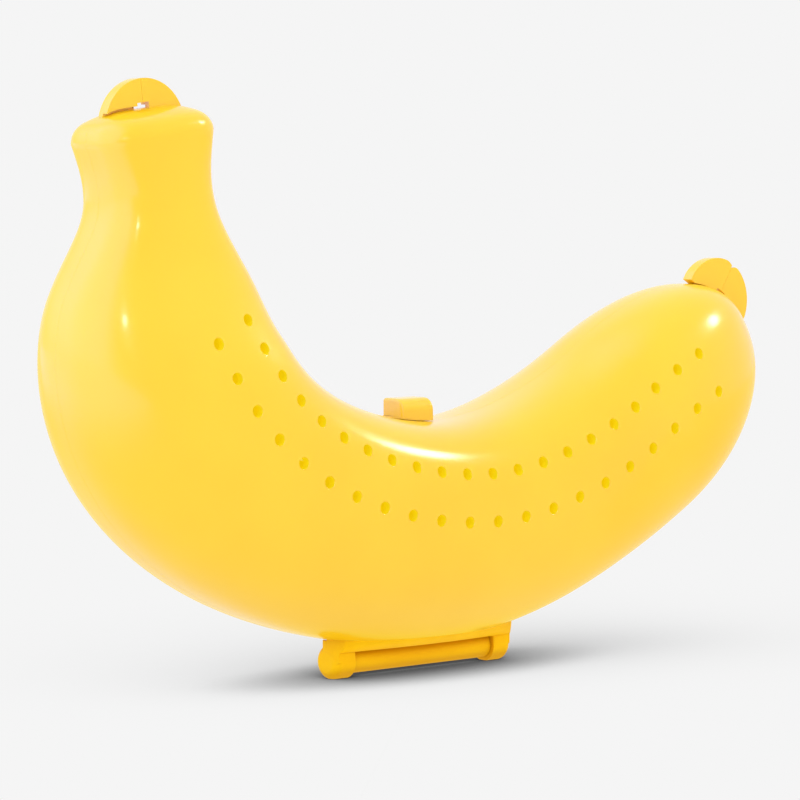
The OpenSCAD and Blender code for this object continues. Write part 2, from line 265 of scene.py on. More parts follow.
    def raw_rings(self, skin: float) -> np.ndarray:
        """All sections from the ridge of the stem's crown to the tip's pole, taken in by a skin.

        Args:
            skin: How far the sections are taken in.

        Returns:
            Section rows, from the stem to the tip.
        """
        r, crown = self.stem_round - skin, math.radians(90 - self.crown_slope)
        crown_in = skin + r * (1 - math.cos(crown))
        run = self.stem_depth / 2 - crown_in
        f = 1 - np.linspace(0, 1, self.CROWN_STEPS + 1)[:-1] ** 2
        rise = run * math.tan(math.radians(self.crown_slope)) * (1 - (1 - f) ** 2) / 2
        a = crown * np.linspace(1, 0, self.EDGE_STEPS + 1)[:-1]
        height = np.concatenate([r * math.sin(crown) + rise, r * np.sin(a)])
        inset = np.concatenate([crown_in + run * f, skin + r * (1 - np.cos(a))])
        top = self.station(np.zeros(1))[0][0]
        none = np.zeros_like(height)
        stem = self.section(none, -height, none, top[2] - inset, top[3] - inset)
        tip = self.last + np.sin(np.linspace(0, math.pi / 2, self.TIP_STEPS + 1)[1:]) ** (2 / self.tip_square)
        return np.vstack([stem, self.body(self.spread(self.BODY_RINGS), skin), self.body(tip, skin)])

    @property
    def lift(self) -> float:
        """Rise that sets the belly just over the hinge's knuckles."""
        return self.hinge_top - float(self.line(self.raw_rings(0), -1.0, [-self.hinge_in, self.hinge_in]).min())

    def rings(self, skin: float) -> np.ndarray:
        """Sections in their final height, taken in by a skin.

        Args:
            skin: How far the sections are taken in.

        Returns:
            Section rows, from the stem to the tip.
        """
        rows = self.raw_rings(skin)
        rows[:, 1] += self.lift
        return rows

    def seam(self, rows: np.ndarray, side: float) -> np.ndarray:
        """Points of the seam in x and z: side 1 on the inner curve, -1 on the outer curve."""
        return rows[:, :2] + side * rows[:, 2:4] * rows[:, 4:5]

    def line(self, rows: np.ndarray, side: float, x: list[float] | np.ndarray) -> np.ndarray:
        """Heights of the seam at places x along the belly or the valley.

        Args:
            rows: Sections along the body.
            side: 1 for the valley, -1 for the belly.
            x: Places from the hinge's middle.

        Returns:
            One height for each place.
        """
        points = self.seam(rows, side)
        points = points[(np.abs(points[:, 0]) < 0.6 * self.stem_reach) & (rows[:, 3] > 0)]
        return np.interp(x, points[:, 0], points[:, 1])

    def under(self, x: np.ndarray, y: np.ndarray) -> np.ndarray:
        """Finds the heights of the belly's skin.

        Args:
            x: Places along it, from the hinge's middle.
            y: Places across it.

        Returns:
            One height for each place.
        """
        square, share = self.control()[6, 5], np.abs(y) / (self.body_depth / 2)
        rise = self.belly_width / 2 * (1 - (1 - share ** square) ** (1 / square))
        return self.line(self.rings(0), -1.0, x) + rise


@dataclass(frozen=True)
class HingeSizes:
    """Knuckles, barrel and pin under the belly."""

    knuckle_d: float = 8.4
    knuckle_l: float = 6.0
    knuckle_nose: float = 2.0
    knuckle_cap: float = 1.6
    barrel_d: float = 6.4
    barrel_l: float = 43.4
    bore_d: float = 3.1
    end_gap: float = 0.35
    axis_z: float = 4.0
    leaf_end: float = 0.05
    end_round: float = 3.2
    end_deep: float = 6.8
    window: float = 0.39
    web_y: float = 1.3
    web_in: float = 0.6
    web_gap: float = 0.16
    web_edge: float = 0.3
    leaf_in: float = 0.02
    barrel_past: float = 0.2
    plan_from: float = 0.5
    apron: float = 7.4
    apron_least: float = 0.3
    apron_full: float = 0.7
    apron_in: float = 0.05
    apron_back: float = 0.8
    apron_bend: tuple[float, float] = (0.75, 0.15)
    apron_sunk: tuple[float, float] = (0.7, 0.8)
    edge: float = 0.5

    @property
    def window_top(self) -> float:
        """Height of the window's upper edge."""
        return self.axis_z + self.window * self.barrel_d

    @staticmethod
    def eased(radius: float, start: float = 0.0) -> list[tuple[float, float]]:
        """Start of a turned profile, with its edge lightly broken."""
        return [(start, radius - 0.15), (start + 0.04, radius - 0.04), (start + 0.15, radius)]

    @property
    def knuckle_in(self) -> float:
        """Distance from the middle to a knuckle."""
        return self.barrel_l / 2 + self.end_gap

    @property
    def half(self) -> float:
        """Half length of the hinge."""
        return self.knuckle_in + self.knuckle_l


@dataclass(frozen=True)
class LatchSizes:
    """Snap tongue over the seam at the valley, with the catch and the seat that it works on."""

    at_x: float = -2.0
    width: float = 10.0
    reach: float = 7.6
    height: float = 4.8
    hook: float = 1.5
    catch_h: float = 1.4
    catch_t: float = 1.4
    cheek: float = 1.2
    gap: float = 0.35
    sole: float = 0.12
    seat_h: float = 0.6
    web: float = 0.05
    brow: float = 3.0
    edge: float = 0.7
    edge_from: float = 40.0
    block_edge: float = 0.2
    lap: float = 0.01
    past: float = 1.0
    clear: float = 3.0


@dataclass(frozen=True)
class TabSizes:
    """Finger tabs at both ends: each shell carries one half of each tab."""

    radius: float = 11.2
    thick: float = 3.0
    slit: float = 0.06
    stem_gap: float = 0.6
    tip_gap: float = 0.25
    notch: float = 1.6
    notch_h: float = 1.3
    stem_h: float = 6.8
    tip_h: float = 9.4
    tip_at: float = 0.97
    tip_tilt: float = 32.0
    tip_step: float = 1.2
    step_reach: float = 2.4
    overlap: float = 0.4
    least: float = 0.02
    edge: float = 1.1


@dataclass(frozen=True)
class VentSizes:
    """Two rows of vent holes that follow the inner seam."""

    diameter: float = 2.8
    count: int = 21
    inset_stem: float = 12.4
    inset_tip: float = 13.6
    bow: float = 1.4
    row_gap: float = 11.4
    starts: tuple[float, float] = (2.3, 2.48)
    end: float = 7.36
    lean: tuple[float, float] = (0.11, 0.04)
    lip: float = 0.22


class Bench:
    """Makes and joins plain solids; lengths come in millimetres and the meshes are in metres."""

    shift_x: float = 0.0

    @classmethod
    def place(cls, points: np.ndarray) -> np.ndarray:
        """Takes points from the hinge's middle to the part's frame, in metres."""
        return (np.asarray(points, float) + (cls.shift_x, 0.0, 0.0)) * MM

    @classmethod
    def mesh(cls, name: str, points: np.ndarray, faces: list) -> bpy.types.Object:
        """Makes a closed mesh with its faces turned outwards.

        Args:
            name: Name of the new object.
            points: Corner points from the hinge's middle.
            faces: Corner numbers of each face.

        Returns:
            The new object, linked to the scene.
        """
        data = bpy.data.meshes.new(name)
        data.from_pydata(cls.place(points).tolist(), [], faces)
        work = bmesh.new()
        work.from_mesh(data)
        bmesh.ops.remove_doubles(work, verts=work.verts, dist=1e-7)
        bmesh.ops.recalc_face_normals(work, faces=work.faces)
        work.to_mesh(data)
        work.free()
        return cls.add(name, data)

    @staticmethod
    def add(name: str, data: bpy.types.ID) -> bpy.types.Object:
        """Links a new object with its data to the scene.

        Args:
            name: Name of the new object.
            data: Mesh or camera of the object.

        Returns:
            The new object.
        """
        obj = bpy.data.objects.new(name, data)
        bpy.context.scene.collection.objects.link(obj)
        return obj

    @classmethod
    def prism(cls, name: str, outline: np.ndarray, way: tuple[float, float, float]) -> bpy.types.Object:
        """Pulls a flat outline along a way into a closed prism.

        Args:
            name: Name of the new object.
            outline: Corner points in order.
            way: Length and direction of the pull.

        Returns:
            The prism.
        """
        low = np.asarray(outline, float)
        n = len(low)
        faces = [list(range(n)), list(range(2 * n - 1, n - 1, -1))]
        faces += [[i, (i + 1) % n, n + (i + 1) % n, n + i] for i in range(n)]
        return cls.mesh(name, np.vstack([low, low + np.array(way)]), faces)

    @classmethod
    def block(cls, name: str, low: tuple[float, float, float], high: tuple[float, float, float]) -> bpy.types.Object:
        """Makes a block between two opposite corners."""
        (x0, y0, z0), (x1, y1, z1) = low, high
        return cls.prism(name, np.array([[x0, y0, z0], [x1, y0, z0], [x1, y1, z0], [x0, y1, z0]]), (0, 0, z1 - z0))

    @classmethod
    def lathe(cls, name: str, profile: list[tuple[float, float]], foot: tuple[float, float, float],
              axis: str = "X", n: int = 64) -> bpy.types.Object:
        """Turns a profile about an axis into a closed solid.

        Args:
            name: Name of the new object.
            profile: Pairs of place along the axis and radius, from end to end.
            foot: Point on the axis where places count from.
            axis: X, Y or Z.
            n: Corners around.

        Returns:
            The turned solid.
        """
        turn = np.arange(n) * 2 * math.pi / n
        k = "XYZ".index(axis)
        points = np.zeros((len(profile), n, 3))
        for i, (along, radius) in enumerate(profile):
            points[i, :, k] = along
            points[i, :, (k + 1) % 3] = radius * np.cos(turn)
            points[i, :, (k + 2) % 3] = radius * np.sin(turn)
        return cls.tube(name, points + np.array(foot))

    @classmethod
    def tube(cls, name: str, rings: np.ndarray) -> bpy.types.Object:
        """Lays a skin over rings of points with the same count each, and closes both ends.

        Args:
            name: Name of the new object.
            rings: Points by ring and by corner, from the hinge's middle.

        Returns:
            The closed solid.
        """
        m, n = rings.shape[:2]
        faces = [[i * n + j, i * n + (j + 1) % n, (i + 1) * n + (j + 1) % n, (i + 1) * n + j]
                 for i in range(m - 1) for j in range(n)]
        faces += [list(range(n)), [(m - 1) * n + j for j in range(n)][::-1]]
        return cls.mesh(name, rings.reshape(-1, 3), faces)

    @staticmethod
    def join(target: bpy.types.Object, tool: bpy.types.Object, cut: Cut) -> None:
        """Joins or cuts a solid with another, which is used up.

        Args:
            target: Solid that is changed.
            tool: Solid that is used up.
            cut: Way to join them.
        """
        step = target.modifiers.new(tool.name, "BOOLEAN")
        step.operation, step.object, step.solver = cut.value, tool, "MANIFOLD"
        Bench.freeze(target)
        Bench.drop(tool)

    @staticmethod
    def soften(obj: bpy.types.Object, width: float, angle: float = 35.0) -> None:
        """Rounds the sharp edges of a solid.

        Args:
            obj: Solid that is changed.
            width: Width of the rounding.
            angle: Least angle of a sharp edge, in degrees.
        """
        step = obj.modifiers.new("soft_edges", "BEVEL")
        step.width, step.segments, step.limit_method = width * MM, 4, "ANGLE"
        step.angle_limit, step.use_clamp_overlap = math.radians(angle), True
        Bench.freeze(obj)

    @staticmethod
    def freeze(obj: bpy.types.Object) -> None:
        """Turns the evaluated object into a plain mesh and clears its modifiers.

        Args:
            obj: Object that is changed.
        """
        bpy.context.view_layer.update()
        graph = bpy.context.evaluated_depsgraph_get()
        made = bpy.data.meshes.new_from_object(obj.evaluated_get(graph), depsgraph=graph)
        old = obj.data
        obj.modifiers.clear()
        obj.data = made
        made.name = obj.name
        bpy.data.meshes.remove(old)

    @staticmethod
    def smooth(obj: bpy.types.Object) -> None:
        """Shades a solid smooth between its sharp edges, with normals weighted by area.

        Args:
            obj: Solid that is shaded.
        """
        obj.data.shade_smooth()
        obj.data.set_sharp_from_angle(angle=SHARP)
        step = obj.modifiers.new("weighted", "WEIGHTED_NORMAL")
        step.keep_sharp, step.weight = True, 50
        Bench.freeze(obj)

    @staticmethod
    def values(items: bpy.types.bpy_prop_collection, name: str, wide: int = 3, kind: type = np.float32) -> np.ndarray:
        """Reads one property of all items into an array.

        Args:
            items: Vertices, loops, faces or normals of a mesh.
            name: Property that is read.
            wide: Count of numbers for each item.
            kind: Type of the numbers.

        Returns:
            One row for each item, or one number.
        """
        flat = np.zeros(len(items) * wide, kind)
        items.foreach_get(name, flat)
        return flat.reshape(-1, wide) if wide > 1 else flat

    @staticmethod
    def drop(obj: bpy.types.Object) -> None:
        """Removes a helper with its mesh.

        Args:
            obj: Helper that is removed.
        """
        data = obj.data
        bpy.data.objects.remove(obj)
        bpy.data.meshes.remove(data)


@dataclass(frozen=True)
class GlossPolypropylene:
    """Polypropylene, injection-moulded in a polished tool and coloured right through.

    The tool's polish leaves a thin mirror-like skin, so lamps show as small crisp lights, over a milky depth that
    blurs all else; the flow of the melt leaves faint, broad changes of depth in the colour and a slight waviness.
    """

    name: str = "polypropylene_moulded_gloss"
    body: str = "FDC816"
    deep: str = "FAC20E"
    flow_mm: float = 38.0
    ripple_mm: float = 7.0
    gloss: tuple[float, float] = (0.2, 0.26)

    def make(self) -> bpy.types.Material:
        """Builds the material.

        Returns:
            A new material.
        """
        material, tree = blank_material(self.name)
        place = add_node(tree, "ShaderNodeTexCoord").outputs["Object"]
        flow = add_node(tree, "ShaderNodeTexNoise", None,
                        {"Vector": place, "Scale": 1 / (self.flow_mm * MM), "Detail": 3.0, "Roughness": 0.45})
        tone = add_node(tree, "ShaderNodeMapRange", None,
                        {"Value": flow.outputs["Fac"], "From Min": NOISE_SPAN[0], "From Max": NOISE_SPAN[1]})
        colour = add_node(tree, "ShaderNodeMix", {"data_type": "RGBA"},
                          {"Factor": tone.outputs["Result"], 6: linear(self.deep), 7: linear(self.body)})
        haze = add_node(tree, "ShaderNodeMapRange", None,
                        {"Value": flow.outputs["Fac"], "From Min": NOISE_SPAN[0], "From Max": NOISE_SPAN[1],
                         "To Min": self.gloss[0], "To Max": self.gloss[1]})
        ripple = add_node(tree, "ShaderNodeTexNoise", None,
                          {"Vector": place, "Scale": 1 / (self.ripple_mm * MM), "Detail": 1.0})
        bump = add_node(tree, "ShaderNodeBump", None,
                        {"Height": ripple.outputs["Fac"], "Strength": 0.02, "Distance": 0.1 * MM})
        shader = add_node(tree, "ShaderNodeBsdfPrincipled", None,
                          {"Base Color": colour.outputs[2], "Roughness": haze.outputs["Result"],
                           "Normal": bump.outputs["Normal"], "IOR": 1.49,
                           "Coat Weight": 0.35, "Coat Roughness": 0.07, "Coat IOR": 1.5})
        add_node(tree, "ShaderNodeOutputMaterial", None, {"Surface": shader.outputs["BSDF"]})
        return material


@dataclass(frozen=True)
class SatinPolypropylene:
    """The same polypropylene where the tool is spark-eroded, on the hinge.

    The fine pits break the shine, so the hinge shows a deeper yellow with wide, weak lights, and painted shade
    darkens it further round the barrel and inside the window. The real grit is about 0.05 mm; it is drawn at
    0.35 mm so that it shows.
    """

    name: str = "polypropylene_moulded_satin"
    body: str = "FEC206"
    deep: str = "F9BA04"
    # Painted shade: colour, reach and span of the darkening in recesses
    painted_shade_colour: str = "DC9C02"
    painted_shade_reach_mm: float = 6.0
    painted_shade_span: tuple[float, float] = (0.4, 0.8)
    flow_mm: float = 9.0
    grit_mm: float = 0.35

    def make(self) -> bpy.types.Material:
        """Builds the material.

        Returns:
            A new material.
        """
        material, tree = blank_material(self.name)
        place = add_node(tree, "ShaderNodeTexCoord").outputs["Object"]
        flow = add_node(tree, "ShaderNodeTexNoise", None,
                        {"Vector": place, "Scale": 1 / (self.flow_mm * MM), "Detail": 2.0})
        tone = add_node(tree, "ShaderNodeMapRange", None,
                        {"Value": flow.outputs["Fac"], "From Min": NOISE_SPAN[0], "From Max": NOISE_SPAN[1]})
        colour = add_node(tree, "ShaderNodeMix", {"data_type": "RGBA"},
                          {"Factor": tone.outputs["Result"], 6: linear(self.deep), 7: linear(self.body)})
        # Painted shade: the yellow is darkened towards a shade colour where little light gets in, round the barrel and
        # inside the window
        painted_shade = add_node(tree, "ShaderNodeAmbientOcclusion", {"samples": 12}, {"Distance": self.painted_shade_reach_mm * MM})
        painted_shade = add_node(tree, "ShaderNodeMapRange", None,
                        {"Value": painted_shade.outputs["AO"], "From Min": self.painted_shade_span[0],
                         "From Max": self.painted_shade_span[1]})
        colour = add_node(tree, "ShaderNodeMix", {"data_type": "RGBA"},
                          {"Factor": painted_shade.outputs["Result"], 6: linear(self.painted_shade_colour), 7: colour.outputs[2]})
        grit = add_node(tree, "ShaderNodeTexNoise", None,
                        {"Vector": place, "Scale": 1 / (self.grit_mm * MM), "Detail": 2.0})
        rough = add_node(tree, "ShaderNodeMapRange", None,
                         {"Value": grit.outputs["Fac"], "From Min": 0.3, "From Max": 0.7,
                          "To Min": 0.42, "To Max": 0.56})
        bump = add_node(tree, "ShaderNodeBump", None,
                        {"Height": grit.outputs["Fac"], "Strength": 0.12, "Distance": 0.05 * MM})
        shader = add_node(tree, "ShaderNodeBsdfPrincipled", None,
                          {"Base Color": colour.outputs[2], "Roughness": rough.outputs["Result"],
                           "Normal": bump.outputs["Normal"], "IOR": 1.49, "Specular IOR Level": 0.06})
        add_node(tree, "ShaderNodeOutputMaterial", None, {"Surface": shader.outputs["BSDF"]})
        return material


@dataclass(frozen=True)
class InnerPolypropylene:
    """The same polypropylene on the cavity's side, where the tool is only smoothed.

    Light passes through the 2 mm wall, so the inside and the walls of the vents glow in a full, dull yellow
    instead of going dark. An emission stands in for that light.
    """

    name: str = "polypropylene_moulded_inside"
    body: str = "BEA00A"
    deep: str = "B29608"
    glow: str = "B5A306"
    grain_mm: float = 1.5

    def make(self) -> bpy.types.Material:
        """Builds the material.

        Returns:
            A new material.
        """
        material, tree = blank_material(self.name)
        place = add_node(tree, "ShaderNodeTexCoord").outputs["Object"]
        grain = add_node(tree, "ShaderNodeTexNoise", None,
                         {"Vector": place, "Scale": 1 / (self.grain_mm * MM), "Detail": 3.0})
        tone = add_node(tree, "ShaderNodeMapRange", None,
                        {"Value": grain.outputs["Fac"], "From Min": NOISE_SPAN[0], "From Max": NOISE_SPAN[1]})
        colour = add_node(tree, "ShaderNodeMix", {"data_type": "RGBA"},
                          {"Factor": tone.outputs["Result"], 6: linear(self.deep), 7: linear(self.body)})
        bump = add_node(tree, "ShaderNodeBump", None,
                        {"Height": grain.outputs["Fac"], "Strength": 0.1, "Distance": 0.05 * MM})
        shader = add_node(tree, "ShaderNodeBsdfPrincipled", None,
                          {"Base Color": colour.outputs[2], "Roughness": 0.45, "Normal": bump.outputs["Normal"],
                           "IOR": 1.49, "Specular IOR Level": 0.2, "Emission Color": linear(self.glow),
                           "Emission Strength": 1.0})
        add_node(tree, "ShaderNodeOutputMaterial", None, {"Surface": shader.outputs["BSDF"]})
        return material


@dataclass(frozen=True)
class DrawnSteel:
    """Bright steel wire, pulled through a die.

    Drawing leaves fine lines along the wire, so the lights stretch across it.
    """

    name: str = "steel_wire_drawn"
    bright: str = "CDD0D2"
    dull: str = "A9ADB0"
    line_mm: float = 0.12

    def make(self) -> bpy.types.Material:
        """Builds the material.

        Returns:
            A new material.
        """
        material, tree = blank_material(self.name)
        place = add_node(tree, "ShaderNodeTexCoord").outputs["Object"]
        along = add_node(tree, "ShaderNodeMapping", None, {"Vector": place, "Scale": (0.02, 1.0, 1.0)})
        lines = add_node(tree, "ShaderNodeTexNoise", None,
                         {"Vector": along.outputs["Vector"], "Scale": 1 / (self.line_mm * MM), "Detail": 3.0})
        colour = add_node(tree, "ShaderNodeMix", {"data_type": "RGBA"},
                          {"Factor": lines.outputs["Fac"], 6: linear(self.dull), 7: linear(self.bright)})
        rough = add_node(tree, "ShaderNodeMapRange", None,
                         {"Value": lines.outputs["Fac"], "To Min": 0.22, "To Max": 0.4})
        bump = add_node(tree, "ShaderNodeBump", None,
                        {"Height": lines.outputs["Fac"], "Strength": 0.2, "Distance": 0.01 * MM})
        shader = add_node(tree, "ShaderNodeBsdfPrincipled", None,
                          {"Base Color": colour.outputs[2], "Roughness": rough.outputs["Result"],
                           "Normal": bump.outputs["Normal"], "Metallic": 1.0})
        add_node(tree, "ShaderNodeOutputMaterial", None, {"Surface": shader.outputs["BSDF"]})
        return material


class TreeTool:
    """A Geometry Nodes tree with named inputs, run on an object as one modifier."""

    NAME: str = ""
    SIZES: tuple[tuple[str, str], ...] = ()

    def __init__(self) -> None:
        """Builds the tree."""
        self.tree = bpy.data.node_groups.new(self.NAME, "GeometryNodeTree")
        face = self.tree.interface
        face.new_socket(name="Geometry", in_out="INPUT", socket_type="NodeSocketGeometry")
        self.keys = {name: face.new_socket(name=name, in_out="INPUT", socket_type=kind).identifier
                     for name, kind in self.SIZES}
        face.new_socket(name="Geometry", in_out="OUTPUT", socket_type="NodeSocketGeometry")
        self.fill()

    def fill(self) -> None:
        """Fills the tree with its nodes."""
        raise NotImplementedError

    def hand_out(self, size: bpy.types.NodeOutputs, mesh: bpy.types.NodeSocket) -> None:
        """Ends the tree: gives the mesh its material and hands it out.

        Args:
            size: Outputs of the tree's input node.
            mesh: Socket with the finished mesh.
        """
        plain = add_node(self.tree, "GeometryNodeRealizeInstances", None, {"Geometry": mesh})
        dressed = add_node(self.tree, "GeometryNodeSetMaterial", None,
                           {"Geometry": plain.outputs["Geometry"], "Material": size["Material"]})
        add_node(self.tree, "NodeGroupOutput", None, {0: dressed.outputs["Geometry"]})

    def apply(self, obj: bpy.types.Object, sizes: dict[str, object]) -> None:
        """Runs the tree on an object and keeps the result as its mesh.

        Args:
            obj: Object that takes the change.
            sizes: Value of each named input.
        """
        step = obj.modifiers.new(self.NAME, "NODES")
        step.node_group = self.tree
        for key, value in sizes.items():
            step[self.keys[key]] = value
        Bench.freeze(obj)


class ShellLoft(TreeTool):
    """Geometry Nodes tree that lays one closed skin over the sections of a shell."""

    NAME = "shell_loft"
    SIZES = (
        ("Section Guide", "NodeSocketObject"), ("Rings", "NodeSocketInt"), ("Edges", "NodeSocketInt"),
        ("Seam Gap", "NodeSocketFloat"), ("Rim Round", "NodeSocketFloat"), ("Side", "NodeSocketFloat"),
        ("Material", "NodeSocketMaterial"),
    )
    FIELDS: tuple[str, ...] = ("middle", "inward", "half", "square", "round_in", "round_out")
    # How strongly the points are drawn together at the seams
    DRAW: float = 0.43

    def fill(self) -> None:
        """Fills the tree: a grid whose columns run round the outside and back along the inside."""
        tree = self.tree
        size = add_node(tree, "NodeGroupInput").outputs
        math_node, vector_node = "ShaderNodeMath", "ShaderNodeVectorMath"
        # Columns 0 to n are the outside, n + 1 to 2n + 1 the inside, and the last one closes the loop
        loop = add_node(tree, math_node, {"operation": "MULTIPLY_ADD"}, {0: size["Edges"], 1: 2.0, 2: 2.0}).outputs[0]
        columns = add_node(tree, math_node, {"operation": "ADD"}, {0: loop, 1: 1.0}).outputs[0]
        grid = add_node(tree, "GeometryNodeMeshGrid", None, {"Vertices X": size["Rings"], "Vertices Y": columns})
        index = add_node(tree, "GeometryNodeInputIndex").outputs[0]
        ring = add_node(tree, math_node, {"operation": "DIVIDE"}, {0: index, 1: columns}).outputs[0]
        ring = add_node(tree, math_node, {"operation": "FLOOR"}, {0: ring}).outputs[0]
        column = add_node(tree, math_node, {"operation": "MODULO"}, {0: index, 1: columns}).outputs[0]
        column = add_node(tree, math_node, {"operation": "MODULO"}, {0: column, 1: loop}).outputs[0]
        edge = add_node(tree, math_node, {"operation": "ADD"}, {0: size["Edges"], 1: 0.5}).outputs[0]
        inside = add_node(tree, math_node, {"operation": "GREATER_THAN"}, {0: column, 1: edge}).outputs[0]
        back = add_node(tree, math_node, {"operation": "SUBTRACT"}, {0: loop, 1: column}).outputs[0]
        back = add_node(tree, math_node, {"operation": "SUBTRACT"}, {0: back, 1: 1.0}).outputs[0]
        step = add_node(tree, "ShaderNodeMix", {"data_type": "FLOAT"}, {0: inside, 2: column, 3: back}).outputs[0]
        share = add_node(tree, math_node, {"operation": "DIVIDE"}, {0: step, 1: size["Edges"]}).outputs[0]
        # Angle round the half section, with the points drawn together at both seams
        turn = add_node(tree, math_node, {"operation": "MULTIPLY"}, {0: share, 1: 2 * math.pi}).outputs[0]
        draw = add_node(tree, math_node, {"operation": "SINE"}, {0: turn}).outputs[0]
        draw = add_node(tree, math_node, {"operation": "MULTIPLY"}, {0: draw, 1: -self.DRAW}).outputs[0]
        angle = add_node(tree, math_node, {"operation": "MULTIPLY_ADD"}, {0: share, 1: math.pi, 2: draw}).outputs[0]
        cos = add_node(tree, math_node, {"operation": "COSINE"}, {0: angle}).outputs[0]
        sin = add_node(tree, math_node, {"operation": "SINE"}, {0: angle}).outputs[0]
        sin = add_node(tree, math_node, {"operation": "MAXIMUM"}, {0: sin, 1: 0.0}).outputs[0]
        flat = add_node(tree, math_node, {"operation": "ABSOLUTE"}, {0: cos}).outputs[0]
        inner = add_node(tree, math_node, {"operation": "GREATER_THAN"}, {0: cos, 1: 0.0}).outputs[0]
        # Values of this ring, read from the guide: the outside's rows come first, then the inside's
        guide = add_node(tree, "GeometryNodeObjectInfo", None, {"Object": size["Section Guide"]})
        row = add_node(tree, math_node, {"operation": "MULTIPLY_ADD"},
                       {0: inside, 1: size["Rings"], 2: ring}).outputs[0]
        read = {}
        for name in self.FIELDS:
            value = add_node(tree, "GeometryNodeInputNamedAttribute", {"data_type": "FLOAT_VECTOR"}, {"Name": name})
            read[name] = add_node(tree, "GeometryNodeSampleIndex", {"data_type": "FLOAT_VECTOR", "domain": "POINT"},
                                  {"Geometry": guide.outputs["Geometry"], "Value": value.outputs["Attribute"],
                                   "Index": row}).outputs[0]
        half = add_node(tree, "ShaderNodeSeparateXYZ", None, {0: read["half"]}).outputs
        square = add_node(tree, "ShaderNodeSeparateXYZ", None, {0: read["square"]}).outputs
        # Superellipse of the section: its radius at this angle, then its two coordinates
        power = add_node(tree, "ShaderNodeMix", {"data_type": "FLOAT"},
                         {0: inner, 2: square[1], 3: square[0]}).outputs[0]
        part_w = add_node(tree, math_node, {"operation": "POWER"}, {0: flat, 1: power}).outputs[0]
        part_d = add_node(tree, math_node, {"operation": "POWER"}, {0: sin, 1: power}).outputs[0]
        radius = add_node(tree, math_node, {"operation": "ADD"}, {0: part_w, 1: part_d}).outputs[0]
        root = add_node(tree, math_node, {"operation": "DIVIDE"}, {0: -1.0, 1: power}).outputs[0]
        radius = add_node(tree, math_node, {"operation": "POWER"}, {0: radius, 1: root}).outputs[0]
        wide = add_node(tree, math_node, {"operation": "MULTIPLY"}, {0: radius, 1: cos}).outputs[0]
        wide = add_node(tree, math_node, {"operation": "MULTIPLY"}, {0: wide, 1: half[0]}).outputs[0]
        deep = add_node(tree, math_node, {"operation": "MULTIPLY"}, {0: radius, 1: sin}).outputs[0]
        deep = add_node(tree, math_node, {"operation": "MULTIPLY"}, {0: deep, 1: half[1]}).outputs[0]
        across = add_node(tree, math_node, {"operation": "MULTIPLY_ADD"},
                          {0: size["Seam Gap"], 1: 0.5, 2: deep}).outputs[0]
        across = add_node(tree, math_node, {"operation": "MULTIPLY"}, {0: across, 1: size["Side"]}).outputs[0]
        across = add_node(tree, "ShaderNodeCombineXYZ", None, {1: across}).outputs[0]
        # Rounding of the outer rim: how far a point near the seam drops below the skin
        near = add_node(tree, math_node, {"operation": "SUBTRACT"}, {0: size["Rim Round"], 1: deep}).outputs[0]
        near = add_node(tree, math_node, {"operation": "MAXIMUM"}, {0: near, 1: 0.0}).outputs[0]
        near = add_node(tree, math_node, {"operation": "DIVIDE"}, {0: near, 1: size["Rim Round"]}).outputs[0]
        near = add_node(tree, math_node, {"operation": "ARCSINE"}, {0: near}).outputs[0]
        near = add_node(tree, math_node, {"operation": "COSINE"}, {0: near}).outputs[0]
        drop = add_node(tree, math_node, {"operation": "SUBTRACT"}, {0: near, 1: 1.0}).outputs[0]
        drop = add_node(tree, math_node, {"operation": "MULTIPLY"}, {0: drop, 1: size["Rim Round"]}).outputs[0]
        fall = add_node(tree, "ShaderNodeMix", {"data_type": "VECTOR"},
                        {0: inner, 4: read["round_out"], 5: read["round_in"]}).outputs[1]
        fall = add_node(tree, vector_node, {"operation": "SCALE"}, {0: fall, "Scale": drop}).outputs[0]
        spot = add_node(tree, vector_node, {"operation": "SCALE"}, {0: read["inward"], "Scale": wide}).outputs[0]
        for part in (read["middle"], across, fall):
            spot = add_node(tree, vector_node, {"operation": "ADD"}, {0: spot, 1: part}).outputs[0]
        skin = add_node(tree, "GeometryNodeSetPosition", None, {"Geometry": grid.outputs["Mesh"], "Position": spot})
        closed = add_node(tree, "GeometryNodeMergeByDistance", None,
                          {"Geometry": skin.outputs["Geometry"], "Distance": 2e-7})
        self.hand_out(size, closed.outputs["Geometry"])

    def guide(self, curve: CaseCurve) -> bpy.types.Object:
        """Writes the sections of both skins as points with named values.

        Args:
            curve: Spine and sections of the body.

        Returns:
            A helper of loose points, the outside's rows first.
        """
        outer, inner = curve.rings(0), curve.rings(curve.wall)
        # One more ring at the stem joins both skins on the crown's ridge
        ridge = (outer[:1] + inner[:1]) / 2
        outer, inner = np.vstack([ridge, outer]), np.vstack([ridge, inner])
        outer[0, 5] = inner[0, 5] = 0.0
        rows = np.vstack([outer, inner])
        flat = np.zeros(len(rows))
        values = {
            "middle": Bench.place(np.stack([rows[:, 0], flat, rows[:, 1]], 1)),
            "inward": np.stack([rows[:, 2], flat, rows[:, 3]], 1),
            "half": np.stack([rows[:, 4], np.maximum(rows[:, 5], 0.0), flat], 1) * MM,
            "square": np.stack([rows[:, 6], rows[:, 7], flat], 1),
        }
        for name, side in (("round_in", 1.0), ("round_out", -1.0)):
            line = curve.seam(outer[1:], side)
            way = np.gradient(line, axis=0)
            way /= np.maximum(np.linalg.norm(way, axis=1, keepdims=True), 1e-9)
            out = np.stack([-way[:, 1], way[:, 0]], 1) * side
            whole = np.zeros((len(rows), 3))
            whole[1:len(outer), 0], whole[1:len(outer), 2] = out[:, 0], out[:, 1]
            values[name] = whole
